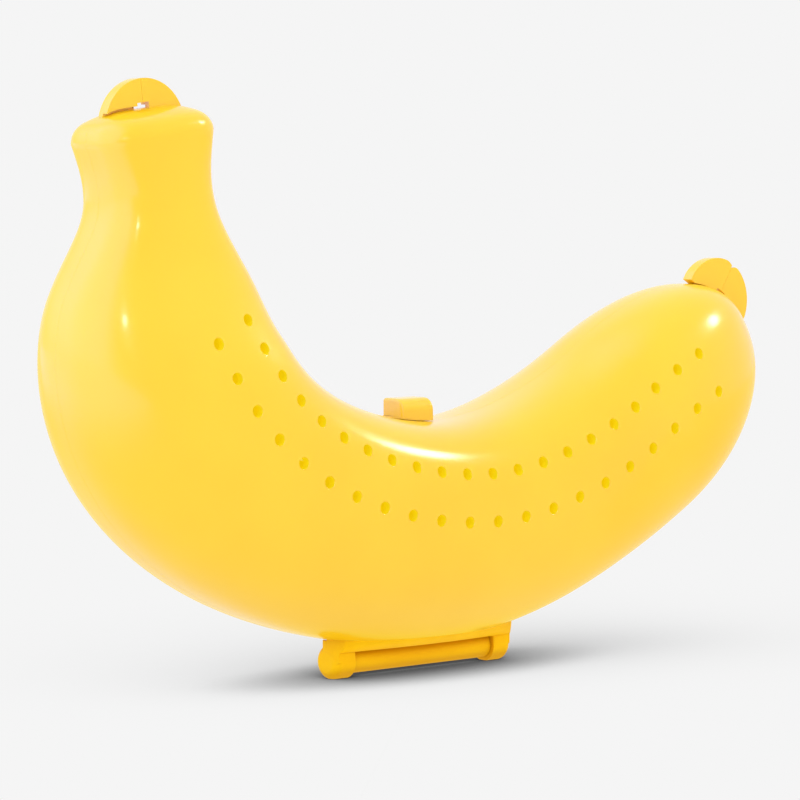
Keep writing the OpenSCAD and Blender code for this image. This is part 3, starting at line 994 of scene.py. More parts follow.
        # Both sides meet at the tip's pole, where the skin faces along the spine
        pole = values["round_in"][len(outer) - 1] + values["round_out"][len(outer) - 1]
        for name in ("round_in", "round_out"):
            values[name][len(outer) - 1] = pole / np.linalg.norm(pole)
        data = bpy.data.meshes.new("section_guide")
        data.from_pydata(values["middle"].tolist(), [], [])
        for name, value in values.items():
            kept = data.attributes.new(name, "FLOAT_VECTOR", "POINT")
            kept.data.foreach_set("vector", value.astype(np.float32).ravel())
        return Bench.add("section_guide", data)

    def run(self, name: str, sizes: dict[str, object]) -> bpy.types.Object:
        """Runs the tree on an empty mesh.

        Args:
            name: Name of the new object.
            sizes: Value of each named input.

        Returns:
            The skin as a plain mesh.
        """
        obj = Bench.add(name, bpy.data.meshes.new(name))
        self.apply(obj, sizes)
        work = bmesh.new()
        work.from_mesh(obj.data)
        bmesh.ops.dissolve_degenerate(work, dist=1e-8, edges=work.edges)
        bmesh.ops.recalc_face_normals(work, faces=work.faces)
        work.to_mesh(obj.data)
        work.free()
        return obj


class VentRows(TreeTool):
    """Geometry Nodes tree that bores rows of holes with rounded lips along paths on a shell."""

    NAME = "vent_rows"
    SIZES = (
        ("Row Paths", "NodeSocketObject"), ("Lip Cutter", "NodeSocketObject"), ("Vents in a Row", "NodeSocketInt"),
        ("Upper Row Lean", "NodeSocketFloat"), ("Lower Row Lean", "NodeSocketFloat"),
        ("Vent Diameter", "NodeSocketFloat"), ("Bore Depth", "NodeSocketFloat"), ("Side", "NodeSocketFloat"),
        ("Material", "NodeSocketMaterial"),
    )

    def fill(self) -> None:
        """Fills the tree: points along the paths, a bore and a lip at each, and one cut."""
        tree = self.tree
        size = add_node(tree, "NodeGroupInput").outputs
        paths = add_node(tree, "GeometryNodeObjectInfo", None, {"Object": size["Row Paths"]})
        curves = add_node(tree, "GeometryNodeMeshToCurve", None, {"Mesh": paths.outputs["Geometry"]})
        # Place along its row, crowded towards the stem by the row's lean
        math_node = "ShaderNodeMath"
        both = add_node(tree, math_node, {"operation": "MULTIPLY"}, {0: size["Vents in a Row"], 1: 2.0}).outputs[0]
        index = add_node(tree, "GeometryNodeInputIndex").outputs[0]
        row = add_node(tree, math_node, {"operation": "DIVIDE"}, {0: index, 1: size["Vents in a Row"]}).outputs[0]
        row = add_node(tree, math_node, {"operation": "FLOOR"}, {0: row}).outputs[0]
        number = add_node(tree, math_node, {"operation": "MODULO"}, {0: index, 1: size["Vents in a Row"]}).outputs[0]
        most = add_node(tree, math_node, {"operation": "SUBTRACT"}, {0: size["Vents in a Row"], 1: 1.0}).outputs[0]
        share = add_node(tree, math_node, {"operation": "DIVIDE"}, {0: number, 1: most}).outputs[0]
        lean = add_node(tree, "ShaderNodeMix", {"data_type": "FLOAT"},
                        {0: row, 2: size["Upper Row Lean"], 3: size["Lower Row Lean"]}).outputs[0]
        rest = add_node(tree, math_node, {"operation": "SUBTRACT"}, {0: share, 1: 1.0}).outputs[0]
        rest = add_node(tree, math_node, {"operation": "MULTIPLY_ADD"}, {0: rest, 1: lean, 2: 1.0}).outputs[0]
        place = add_node(tree, math_node, {"operation": "MULTIPLY"}, {0: share, 1: rest}).outputs[0]
        on_row = add_node(tree, "GeometryNodeSampleCurve", {"mode": "FACTOR", "use_all_curves": False},
                          {"Curves": curves.outputs["Curve"], "Factor": place, "Curve Index": row})
        spots = add_node(tree, "GeometryNodePoints", None, {"Count": both, "Position": on_row.outputs["Position"]})
        # Bores run along the mould's pull, from outside to the middle of the shell
        radius = add_node(tree, "ShaderNodeMath", {"operation": "MULTIPLY"},
                          {0: size["Vent Diameter"], 1: 0.5}).outputs[0]
        drill = add_node(tree, "GeometryNodeMeshCylinder", {"fill_type": "NGON"},
                         {"Vertices": 40, "Radius": radius, "Depth": size["Bore Depth"]})
        offset = add_node(tree, "ShaderNodeMath", {"operation": "MULTIPLY"},
                          {0: size["Bore Depth"], 1: size["Side"]}).outputs[0]
        offset = add_node(tree, "ShaderNodeCombineXYZ", None, {1: offset}).outputs[0]
        moved = add_node(tree, "GeometryNodeSetPosition", None,
                         {"Geometry": spots.outputs[0], "Offset": offset}).outputs["Geometry"]
        turned = add_node(tree, "FunctionNodeEulerToRotation", None, {0: (math.pi / 2, 0.0, 0.0)})
        bores = add_node(tree, "GeometryNodeInstanceOnPoints", None,
                         {"Points": moved, "Instance": drill.outputs["Mesh"], "Rotation": turned.outputs[0]})
        bores = add_node(tree, "GeometryNodeRealizeInstances", None, {"Geometry": bores.outputs["Instances"]})
        # Lips sit on the skin itself and stand square to it
        inward = add_node(tree, "ShaderNodeVectorMath", {"operation": "SCALE"}, {0: offset, "Scale": -1.0}).outputs[0]
        hit = add_node(tree, "GeometryNodeRaycast", {"data_type": "FLOAT"},
                       {"Target Geometry": size["Geometry"], "Ray Direction": inward, "Ray Length": 1.0})
        facing = add_node(tree, "FunctionNodeAlignRotationToVector", {"axis": "Z"},
                          {"Vector": hit.outputs["Hit Normal"]})
        held = add_node(tree, "GeometryNodeStoreNamedAttribute", {"data_type": "QUATERNION", "domain": "POINT"},
                        {"Geometry": moved, "Name": "facing", "Value": facing.outputs[0]})
        on_skin = add_node(tree, "GeometryNodeSetPosition", None,
                           {"Geometry": held.outputs["Geometry"], "Position": hit.outputs["Hit Position"]})
        facing = add_node(tree, "GeometryNodeInputNamedAttribute", {"data_type": "QUATERNION"}, {"Name": "facing"})
        cutter = add_node(tree, "GeometryNodeObjectInfo", None, {"Object": size["Lip Cutter"]})
        lips = add_node(tree, "GeometryNodeInstanceOnPoints", None,
                        {"Points": on_skin.outputs["Geometry"], "Instance": cutter.outputs["Geometry"],
                         "Rotation": facing.outputs["Attribute"]})
        lips = add_node(tree, "GeometryNodeRealizeInstances", None, {"Geometry": lips.outputs["Instances"]})
        cut = add_node(tree, "GeometryNodeMeshBoolean", {"operation": "DIFFERENCE", "solver": "MANIFOLD"},
                       {0: size["Geometry"], 1: [bores.outputs[0], lips.outputs[0]]})
        self.hand_out(size, cut.outputs["Mesh"])

    def paths(self, curve: CaseCurve, vents: VentSizes) -> bpy.types.Object:
        """Draws the path of each row in the seam's plane.

        Args:
            curve: Spine and sections of the body.
            vents: Sizes of the rows.

        Returns:
            A helper of two open lines.
        """
        points, edges = [], []
        for row, start in enumerate(vents.starts):
            t = np.linspace(start, vents.end, 201)
            rows = curve.body(t, 0)
            share = (t - start) / (vents.end - start)
            inset = vents.inset_stem + (vents.inset_tip - vents.inset_stem) * share + row * vents.row_gap
            inset -= 4 * vents.bow * share * (1 - share)
            spot = rows[:, :2] + rows[:, 2:4] * (rows[:, 4] - inset)[:, None]
            first = len(points)
            points += [(x, 0.0, z + curve.lift) for x, z in spot]
            edges += [(first + i, first + i + 1) for i in range(len(t) - 1)]
        data = bpy.data.meshes.new("vent_paths")
        data.from_pydata(Bench.place(np.array(points)).tolist(), edges, [])
        return Bench.add("vent_paths", data)

    def lip_cutter(self, vents: VentSizes) -> bpy.types.Object:
        """Turns the cutter that rounds the mouth of a hole, standing on the skin along Z.

        Args:
            vents: Sizes of the rows.

        Returns:
            The cutter.
        """
        r, lip = vents.diameter / 2, vents.lip
        turn = np.linspace(0, math.pi / 2, 7)
        profile = [(lip * (math.sin(a) - 1), r + lip * (1 - math.cos(a))) for a in turn]
        profile += [(0.5, r + lip + 0.2)]
        foot = (-Bench.shift_x, 0.0, 0.0)
        return Bench.lathe("vent_lip_cutter", profile, foot, "Z", 40)


@dataclass
class CaseShell:
    """One shell with all that is moulded on it: tabs, hinge leaf, and its side of the latch."""

    side: Side
    curve: CaseCurve
    hinge: HingeSizes
    latch: LatchSizes
    tabs: TabSizes
    vents: VentSizes
    seam_gap: float = 0.012
    rim_round: float = 0.03
    edges: int = 88
    finishes: np.ndarray = field(init=False, default=None)
    obj: bpy.types.Object = field(init=False, default=None)

    # Metres from the uncut skin at which a point or a face no longer lies on it
    POINT_OFF = 3e-6
    FACE_OFF = 4e-6
    # Least cosine between a face and the skin's normal that it takes
    ALIKE = 0.8
    # Vents lie further out than this, and their walls stand steeper to the mould's pull
    VENT_FROM = 9.0
    VENT_STEEP = 0.35
    # How far the hinge's finish reaches over the knuckles and past the ends
    HINGE_RISE = 6.0
    HINGE_PAST = 0.5
    # How far cutters reach past what they cut
    CLEAR = 15.0

    @property
    def name(self) -> str:
        """CAD node that this shell stands for."""
        return "front_shell" if self.side is Side.FRONT else "rear_shell"

    @property
    def body(self) -> str:
        """Body that the shell rides on."""
        return "front" if self.side is Side.FRONT else "rear"

    def build(self, loft: ShellLoft, rows: VentRows, gloss: bpy.types.Material) -> None:
        """Makes the skin, adds what is moulded on it and bores the vents.

        Args:
            loft: Tree that lays the skin.
            rows: Tree that bores the vents.
            gloss: Finish of the shell.
        """
        guide = loft.guide(self.curve)
        count = len(guide.data.vertices) // 2
        sign = float(self.side.value)
        shell = loft.run(f"{self.name}_moulding", {
            "Section Guide": guide, "Rings": count, "Edges": self.edges, "Seam Gap": self.seam_gap * MM,
            "Rim Round": self.rim_round * MM, "Side": sign, "Material": gloss,
        })
        Bench.drop(guide)
        skin = shell.data.copy()
        for extra in self._extras():
            Bench.join(shell, extra, Cut.UNION)
        if self.side is Side.FRONT:
            groove = [(way * self.hinge.knuckle_in, self.hinge.barrel_d / 2 + self.hinge.end_gap) for way in (-1, 1)]
            Bench.join(shell, Bench.lathe("barrel_groove", groove, (0, 0, self.hinge.axis_z), "X", 72), Cut.DIFFERENCE)
        paths, cutter = rows.paths(self.curve, self.vents), rows.lip_cutter(self.vents)
        rows.apply(shell, {
            "Row Paths": paths, "Lip Cutter": cutter, "Vents in a Row": self.vents.count,
            "Upper Row Lean": self.vents.lean[0], "Lower Row Lean": self.vents.lean[1],
            "Vent Diameter": self.vents.diameter * MM, "Bore Depth": self.curve.body_depth / 2 * MM,
            "Side": sign, "Material": gloss,
        })
        Bench.drop(paths)
        Bench.drop(cutter)
        self._smooth(shell, skin)
        bpy.data.meshes.remove(skin)
        self.obj = shell

    def _extras(self) -> list[bpy.types.Object]:
        """Makes the solids that are moulded in one with this shell.

        Returns:
            The solids, in the order in which they are joined.
        """
        made = [self._tab(*end) for end in self._tab_ends()]
        made += [self._bracket() if self.side is Side.FRONT else self._barrel()]
        made += [self._latch_block()]
        return made

    def _tab_ends(self) -> list[tuple[np.ndarray, float, float, bool]]:
        """Places both tabs.

        Returns:
            Point, tilt in radians and height of each tab, and whether it is the stem's.
        """
        rows = self.curve.rings(0)
        stem = self.curve.station(np.zeros(1))[1][0]
        foot = self.curve.body(np.array([self.curve.last + self.tabs.tip_at]), 0)
        foot[:, 1] += self.curve.lift
        crown = rows[2, :2]
        return [(crown, math.atan2(-stem[0], -stem[1]), self.tabs.stem_h, True),
                (self.curve.seam(foot, 1.0)[0], math.radians(self.tabs.tip_tilt), self.tabs.tip_h, False)]

    def _edge_line(self, point: np.ndarray, tilt: float, at_stem: bool, skin: float) -> tuple[np.ndarray, np.ndarray]:
        """Outline of the body near an end, in the tab's own plane.

        Args:
            point: Foot of the tab.
            tilt: Tilt of the tab from upright.
            at_stem: True at the stem, False at the tip.
            skin: How far the outline is taken in.

        Returns:
            Places across the tab, growing, and the height of the body there.
        """
        rows = self.curve.rings(skin)
        rows = rows[:26] if at_stem else rows[-60:]
        first, second = self.curve.seam(rows, 1.0), self.curve.seam(rows, -1.0)
        line = np.vstack([second[::-1], first]) if at_stem else np.vstack([first, second[::-1]])
        d = line - point
        u = d[:, 0] * math.cos(tilt) - d[:, 1] * math.sin(tilt)
        w = d[:, 0] * math.sin(tilt) + d[:, 1] * math.cos(tilt)
        # Past the tip's pole the outline turns back under itself, and only its upper side counts
        last = len(u) if at_stem else int(np.argmax(u)) + 1
        order = np.argsort(u[:last], kind="stable")
        return u[order], w[order]

    def _tab(self, point: np.ndarray, tilt: float, height: float, at_stem: bool) -> bpy.types.Object:
        """Makes this shell's half of a tab: a plate over the seam and a foot on its own rim.

        Args:
            point: Foot of the tab in x and z.
            tilt: Tilt from upright in radians.
            height: Height over the foot.
            at_stem: True for the stem's tab.

        Returns:
            The half tab as one solid.
        """
        tab = self.tabs
        way = 1.0 if self.side is Side.FRONT else -1.0
        clear = self._edge_line(point, tilt, at_stem, -(tab.stem_gap if at_stem else tab.tip_gap))
        sunk = self._edge_line(point, tilt, at_stem, self.curve.wall / 2)

        def outline(foot_from: float) -> np.ndarray:
            """Draws the outline of the plate.

            Args:
                foot_from: Place across from which it reaches down into the wall.

            Returns:
                Corner points in order.
            """
            across = np.concatenate([np.linspace(tab.slit / 2, tab.notch, 4), np.linspace(tab.notch, tab.radius, 60)])
            # The step at the notch's end stands almost upright
            across[3] -= 1e-3
            arc = height - tab.radius + np.sqrt(np.maximum(tab.radius ** 2 - across ** 2, 0))
            # At the tip each half is rounded off beside the slit, the front one more
            if not at_stem:
                fall = tab.tip_step if self.side is Side.FRONT else tab.tip_step / 2
                arc -= fall * np.maximum(1 - across / tab.step_reach, 0) ** 2
            low = np.interp(way * across, *clear)
            low = np.where(across < tab.notch, np.maximum(low, tab.notch_h), low)
            low = np.where(across >= foot_from, np.interp(way * across, *sunk), low)
            low = np.maximum(low, height - tab.radius)
            keep = arc > low + tab.least
            u = np.concatenate([across[keep], across[keep][::-1]]) * way
            w = np.concatenate([arc[keep], low[keep][::-1]])
            x = point[0] + u * math.cos(tilt) + w * math.sin(tilt)
            z = point[1] - u * math.sin(tilt) + w * math.cos(tilt)
            return np.stack([x, np.zeros_like(x), z], 1)

        sign = self.side.value
        own, far = tab.thick / 2 * sign, -tab.thick / 2 * sign
        rim, lap = self.seam_gap / 2 * sign, tab.overlap * sign
        name = f"{self.name}_{'stem' if at_stem else 'tip'}_tab"
        plate = Bench.prism(name, outline(math.inf) + (0, rim + lap, 0), (0, far - rim - lap, 0))
        foot = Bench.prism(name + "_foot", outline(tab.notch) + (0, rim, 0), (0, own - rim, 0))
        Bench.join(plate, foot, Cut.UNION)
        Bench.soften(plate, tab.edge)
        return plate

    def _leaf(self, half: float, foot: list[tuple[float, float]], y0: float, y1: float, name: str) -> bpy.types.Object:
        """Makes a leaf between a foot outline and the wall of the belly.

        Args:
            half: Half length along X.
            foot: Corners of the lower edge, from the stem's side to the tip's side.
            y0: First face.
            y1: Second face.
            name: Name of the new object.

        Returns:
            The leaf.
        """
        x = np.linspace(half, -half, 33)
        z = self.curve.line(self.curve.rings(0), -1.0, x) + self.curve.wall / 2
        flat = np.array(list(foot) + list(zip(x, z)))
        outline = np.stack([flat[:, 0], np.full(len(flat), y0), flat[:, 1]], 1)
        leaf = Bench.prism(name, outline, (0, y1 - y0, 0))
        Bench.soften(leaf, self.hinge.edge)
        return leaf

    def _bracket(self) -> bpy.types.Object:
        """Makes the front shell's bracket: a leaf with a window and a knuckle at each end.

        Returns:
            The bracket as one solid.
        """
        h = self.hinge
        half, r = h.half - h.leaf_end, h.knuckle_d / 2
        ends = [(half, h.axis_z), (h.knuckle_in, h.axis_z), (h.knuckle_in, h.window_top)]
        foot = [(-x, z) for x, z in ends] + ends[::-1]
        bracket = self._leaf(half, foot, h.leaf_in - r, -self.seam_gap / 2, "front_bracket")
        for way in (-1, 1):
            x = way * np.linspace(h.knuckle_in, half, 9)
            z = self.curve.line(self.curve.rings(0), -1.0, x) - h.web_gap
            flat = list(zip(x, z)) + [(way * half, h.axis_z), (way * h.knuckle_in, h.axis_z)]
            web = Bench.prism("web", np.array([[u, -h.web_in, w] for u, w in flat]), (0, h.web_y + h.web_in, 0))
            Bench.soften(web, h.web_edge)
            Bench.join(bracket, web, Cut.UNION)
        Bench.join(bracket, self._apron(half), Cut.UNION)
        # Seen from above, the bracket's ends are round
        bend = np.linspace(0, math.pi / 2, 13)
        end = [(half - h.end_round * (1 - math.sin(a)), -h.end_deep * math.cos(a)) for a in bend]
        end += [(half, h.web_y)]
        plan = [(-end[0][0], -self.CLEAR), (end[0][0], -self.CLEAR)] + end + [(-x, y) for x, y in end[::-1]]
        plan = Bench.prism("bracket_plan", np.array([[x, y, h.plan_from] for x, y in plan]), (0, 0, self.CLEAR))
        Bench.join(bracket, plan, Cut.INTERSECT)
        turn = np.linspace(0, math.pi / 2, 9)
        nose = [(h.knuckle_l - h.knuckle_nose * (1 - math.sin(a)), r - h.knuckle_nose * (1 - math.cos(a)))
                for a in turn]
        for way in (-1, 1):
            ordered = [(way * (h.knuckle_in + along), radius) for along, radius in h.eased(r) + nose]
            knuckle = Bench.lathe("knuckle", ordered, (0, 0, h.axis_z), "X", 96)
            Bench.join(bracket, knuckle, Cut.UNION)
        reach = h.half + self.CLEAR
        ground = Bench.block("ground", (-reach, -self.CLEAR, -self.CLEAR), (reach, self.CLEAR, 0.0))
        Bench.join(bracket, ground, Cut.DIFFERENCE)
        bore = Bench.lathe("pin_bore", [(h.knuckle_cap - h.half, h.bore_d / 2), (h.half + 2, h.bore_d / 2)],
                           (0, 0, h.axis_z), "X", 48)
        Bench.join(bracket, bore, Cut.DIFFERENCE)
        return bracket

    def _apron(self, half: float) -> bpy.types.Object:
        """Makes the apron that slopes from the window's upper edge out to the belly.

        Args:
            half: Half length along X.

        Returns:
            The apron as one solid, sunk into the bracket and the wall.
        """
        h, n = self.hinge, 41
        x = np.linspace(-half, half, n)
        front, foot = np.full(n, h.apron_in - h.knuckle_d / 2), np.full(n, h.window_top)
        # The apron is widest in the middle and runs out at both ends of the bracket
        out = front - h.apron * np.cos(x / half * math.pi / 2) ** h.apron_full - h.apron_least
        edge, back = self.curve.under(x, out), front + h.apron_back
        corners = [(back, foot)]
        for u in np.linspace(0, 1, 9):
            first, bend = (1 - u) ** 2, 2 * u * (1 - u)
            corners.append((first * front + bend * (front + h.apron_bend[0] * (out - front)) + u * u * out,
                            first * foot + bend * np.minimum(foot + h.apron_bend[1], edge) + u * u * edge))
        corners += [(out, edge + h.apron_sunk[0]), (back, self.curve.under(x, back) + h.apron_sunk[1])]
        return Bench.tube("bracket_apron", np.stack([np.stack([x, y, z], 1) for y, z in corners], 1))

    def _barrel(self) -> bpy.types.Object:
        """Makes the rear shell's barrel on its own leaf.

        Returns:
            The barrel as one solid.
        """
        h = self.hinge
        half, r = h.barrel_l / 2, h.barrel_d / 2
        foot = [(-half, h.axis_z), (half, h.axis_z)]
        barrel = self._leaf(half, foot, self.seam_gap / 2, r - h.leaf_in, "rear_barrel")
        ends = h.eased(r, -h.barrel_past)
        profile = [(along - half, radius) for along, radius in ends]
        profile += [(half - along, radius) for along, radius in ends[::-1]]
        Bench.join(barrel, Bench.lathe("barrel", profile, (0, 0, h.axis_z), "X", 72), Cut.UNION)
        bore = Bench.lathe("pin_bore", [(-h.half, h.bore_d / 2), (h.half, h.bore_d / 2)], (0, 0, h.axis_z), "X", 48)
        Bench.join(barrel, bore, Cut.DIFFERENCE)
        return barrel

    def _latch_block(self) -> bpy.types.Object:
        """Makes the front shell's catch or the rear shell's seat at the valley.

        Returns:
            The block.
        """
        latch = LatchTongue(self.curve, self.latch)
        y0, y1, half, height = latch.catch() if self.side is Side.FRONT else latch.seat()
        low, high = latch.rim()
        x = self.latch.at_x
        block = Bench.block(f"{self.name}_latch_block", (x - half, y0, low - self.curve.wall / 2),
                            (x + half, y1, high + height))
        Bench.soften(block, self.latch.block_edge)
        return block

    def _smooth(self, obj: bpy.types.Object, skin: bpy.types.Mesh) -> None:
        """Sets the normals: on the moulded skin those of the uncut skin, elsewhere weighted by area.

        Args:
            obj: Finished shell.
            skin: Mesh of the skin before anything was cut or added.
        """
        Bench.smooth(obj)
        data = obj.data
        skin.shade_smooth()
        skin.set_sharp_from_angle(angle=SHARP)
        tree = BVHTree.FromPolygons([v.co for v in skin.vertices], [list(p.vertices) for p in skin.polygons])
        corners = Bench.values(skin.corner_normals, "vector")
        means = np.zeros((len(data.vertices), 3), np.float32)
        for v in data.vertices:
            _, _, face, far = tree.find_nearest(v.co)
            if far > self.POINT_OFF:
                continue
            ring = skin.polygons[face]
            gaps = [(skin.vertices[k].co - v.co).length_squared + 1e-16 for k in ring.vertices]
            means[v.index] = sum(corners[i] / gap for i, gap in zip(ring.loop_indices, gaps))
        means /= np.maximum(np.linalg.norm(means, axis=1, keepdims=True), 1e-9)
        loops = Bench.values(data.corner_normals, "vector")
        vertex = Bench.values(data.loops, "vertex_index", 1, np.int32)
        total = Bench.values(data.polygons, "loop_total", 1, np.int32)
        flats = np.repeat(Bench.values(data.polygons, "normal"), total, axis=0)
        takes = (means[vertex] * flats).sum(1) > self.ALIKE
        loops[takes] = means[vertex[takes]]
        data.normals_split_custom_set(loops.tolist())
        self.finishes = self._finish_of(data, tree)

    def _finish_of(self, data: bpy.types.Mesh, skin: BVHTree) -> np.ndarray:
        """Sorts the faces by finish.

        Args:
            data: Finished shell.
            skin: The skin before anything was cut or added.

        Returns:
            For each face 0 for the polished outside, 1 for the hinge and 2 for the inside and the vents' walls.
        """
        spots, ways = Bench.values(data.polygons, "center"), Bench.values(data.polygons, "normal")
        off = np.array([skin.find_nearest(Vector(spot))[3] > self.FACE_OFF for spot in spots])
        spine = self.curve.rings(0)
        spine = Bench.place(np.stack([spine[:, 0], np.zeros(len(spine)), spine[:, 1]], 1))
        near = np.concatenate([np.argmin(((part[:, None, ::2] - spine[None, :, ::2]) ** 2).sum(2), axis=1)
                               for part in np.array_split(spots, 40)])
        inside = ~off & (((spots - spine[near]) * ways).sum(1) < 0)
        bores = off & (np.abs(spots[:, 1]) > self.VENT_FROM * MM) & (np.abs(ways[:, 1]) < self.VENT_STEEP)
        hinge = off & (spots[:, 2] < (self.curve.hinge_top + self.HINGE_RISE) * MM)
        hinge &= np.abs(spots[:, 0] - Bench.shift_x * MM) < (self.hinge.half + self.HINGE_PAST) * MM
        return np.where(hinge, 1, np.where(inside | bores, 2, 0))

    def dress(self, gloss: bpy.types.Material, satin: bpy.types.Material, inner: bpy.types.Material) -> None:
        """Gives the shell its finishes and its place in the frame.

        Args:
            gloss: Finish of the polished shell.
            satin: Finish of the hinge.
            inner: Finish of the cavity's side and of the vents' walls.
        """
        obj = self.obj
        obj.data.materials.clear()
        for finish in (gloss, satin, inner):
            obj.data.materials.append(finish)
        obj.data.polygons.foreach_set("material_index", self.finishes.astype(np.int32))
        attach(obj, self.body)
        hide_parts(self.name)
        LOG.info("%s: %d faces on body %s", obj.name, len(obj.data.polygons), self.body)


@dataclass
class LatchTongue:
    """Snap tongue over the seam: a rounded brow, a bridge over the catch and a hook."""

    curve: CaseCurve
    sizes: LatchSizes
    seam_gap: float = 0.2
    obj: bpy.types.Object = field(init=False, default=None)

    def rim(self) -> tuple[float, float]:
        """Finds the rim under the latch.

        Returns:
            Heights of its lowest and its highest point.
        """
        half = self.sizes.width / 2
        heights = self.curve.line(self.curve.rings(0), 1.0, self.sizes.at_x + np.array([-half, 0.0, half]))
        return float(heights.min()), float(heights.max())

    def catch(self) -> tuple[float, float, float, float]:
        """Places the front shell's catch.

        Returns:
            Both ends in Y, half width and height.
        """
        s = self.sizes
        y1 = -self.seam_gap / 2 - s.gap
        return y1 - s.catch_t, y1, s.width / 2 - s.cheek - s.gap, s.catch_h

    def seat(self) -> tuple[float, float, float, float]:
        """Places the rear shell's seat.

        Returns:
            Both ends in Y, half width and height.
        """
        s = self.sizes
        y0 = self.catch()[0] - s.gap - s.hook
        return self.seam_gap / 2 + s.gap, y0 + s.reach, s.width / 2, s.seat_h

    def build(self) -> None:
        """Makes the tongue: a block with a rounded brow, cut to the rim and hollowed for the catch."""
        s = self.sizes
        hook_in = self.catch()[0] - s.gap
        front, back, seat_in = hook_in - s.hook, self.seat()[1], self.seat()[0]
        low, high = self.rim()
        turn = np.linspace(0, math.pi / 2, 13)
        brow = [(front + s.brow * (1 - math.cos(a)), high + s.height - s.brow * (1 - math.sin(a))) for a in turn]
        profile = [(front, low - s.past)] + brow + [(back, high + s.height), (back, low - s.past)]
        x0 = s.at_x - s.width / 2
        obj = Bench.prism("latch_tongue_moulding", np.array([[x0, y, z] for y, z in profile]), (s.width, 0, 0))
        Bench.soften(obj, s.edge, s.edge_from)
        x = s.at_x + 0.7 * s.width * np.linspace(-1, 1, 17)
        rim = list(zip(x, self.curve.line(self.curve.rings(0), 1.0, x) + s.sole))
        rim += [(x[-1], low - s.clear), (x[0], low - s.clear)]
        under = np.array([(u, front - s.past, w) for u, w in rim])
        Bench.join(obj, Bench.prism("rim_clearance", under, (0, seat_in - front + s.past, 0)), Cut.DIFFERENCE)
        wide, deep = s.width / 2 - s.cheek, low - s.clear
        pocket = Bench.block("catch_pocket", (s.at_x - wide, hook_in, deep),
                             (s.at_x + wide, seat_in, high + s.catch_h + s.gap))
        Bench.join(obj, pocket, Cut.DIFFERENCE)
        sole = Bench.block("seat_clearance", (s.at_x - s.width, seat_in - s.lap, deep),
                           (s.at_x + s.width, back + s.past, high + s.seat_h + s.web))
        Bench.join(obj, sole, Cut.DIFFERENCE)
        Bench.smooth(obj)
        self.obj = obj

    def dress(self, gloss: bpy.types.Material) -> None:
        """Gives the tongue its finish and its place in the frame.

        Args:
            gloss: Finish of the tongue.
        """
        self.obj.data.materials.clear()
        self.obj.data.materials.append(gloss)
        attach(self.obj, "latch")
        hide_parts("latch_tongue")
        LOG.info("%s: %d faces on body latch", self.obj.name, len(self.obj.data.polygons))


@dataclass
class HingePin:
    """Wire pin through the knuckles and the barrel, kept as the CAD made it."""

    node: str = "hinge_pin"

    def dress(self, steel: bpy.types.Material) -> None:
        """Gives the pin its finish.

        Args:
            steel: Finish of the pin.
        """
        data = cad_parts[self.node].data
        data.materials.clear()
        data.materials.append(steel)
        LOG.info("%s: CAD mesh with %s", self.node, steel.name)


@dataclass(frozen=True)
class Glow:
    """One soft light in the studio's surround, round and with a soft edge."""

    azimuth: float
    elevation: float
    radius: float
    edge: float
    strength: float
    colour: str = "FFFFFF"


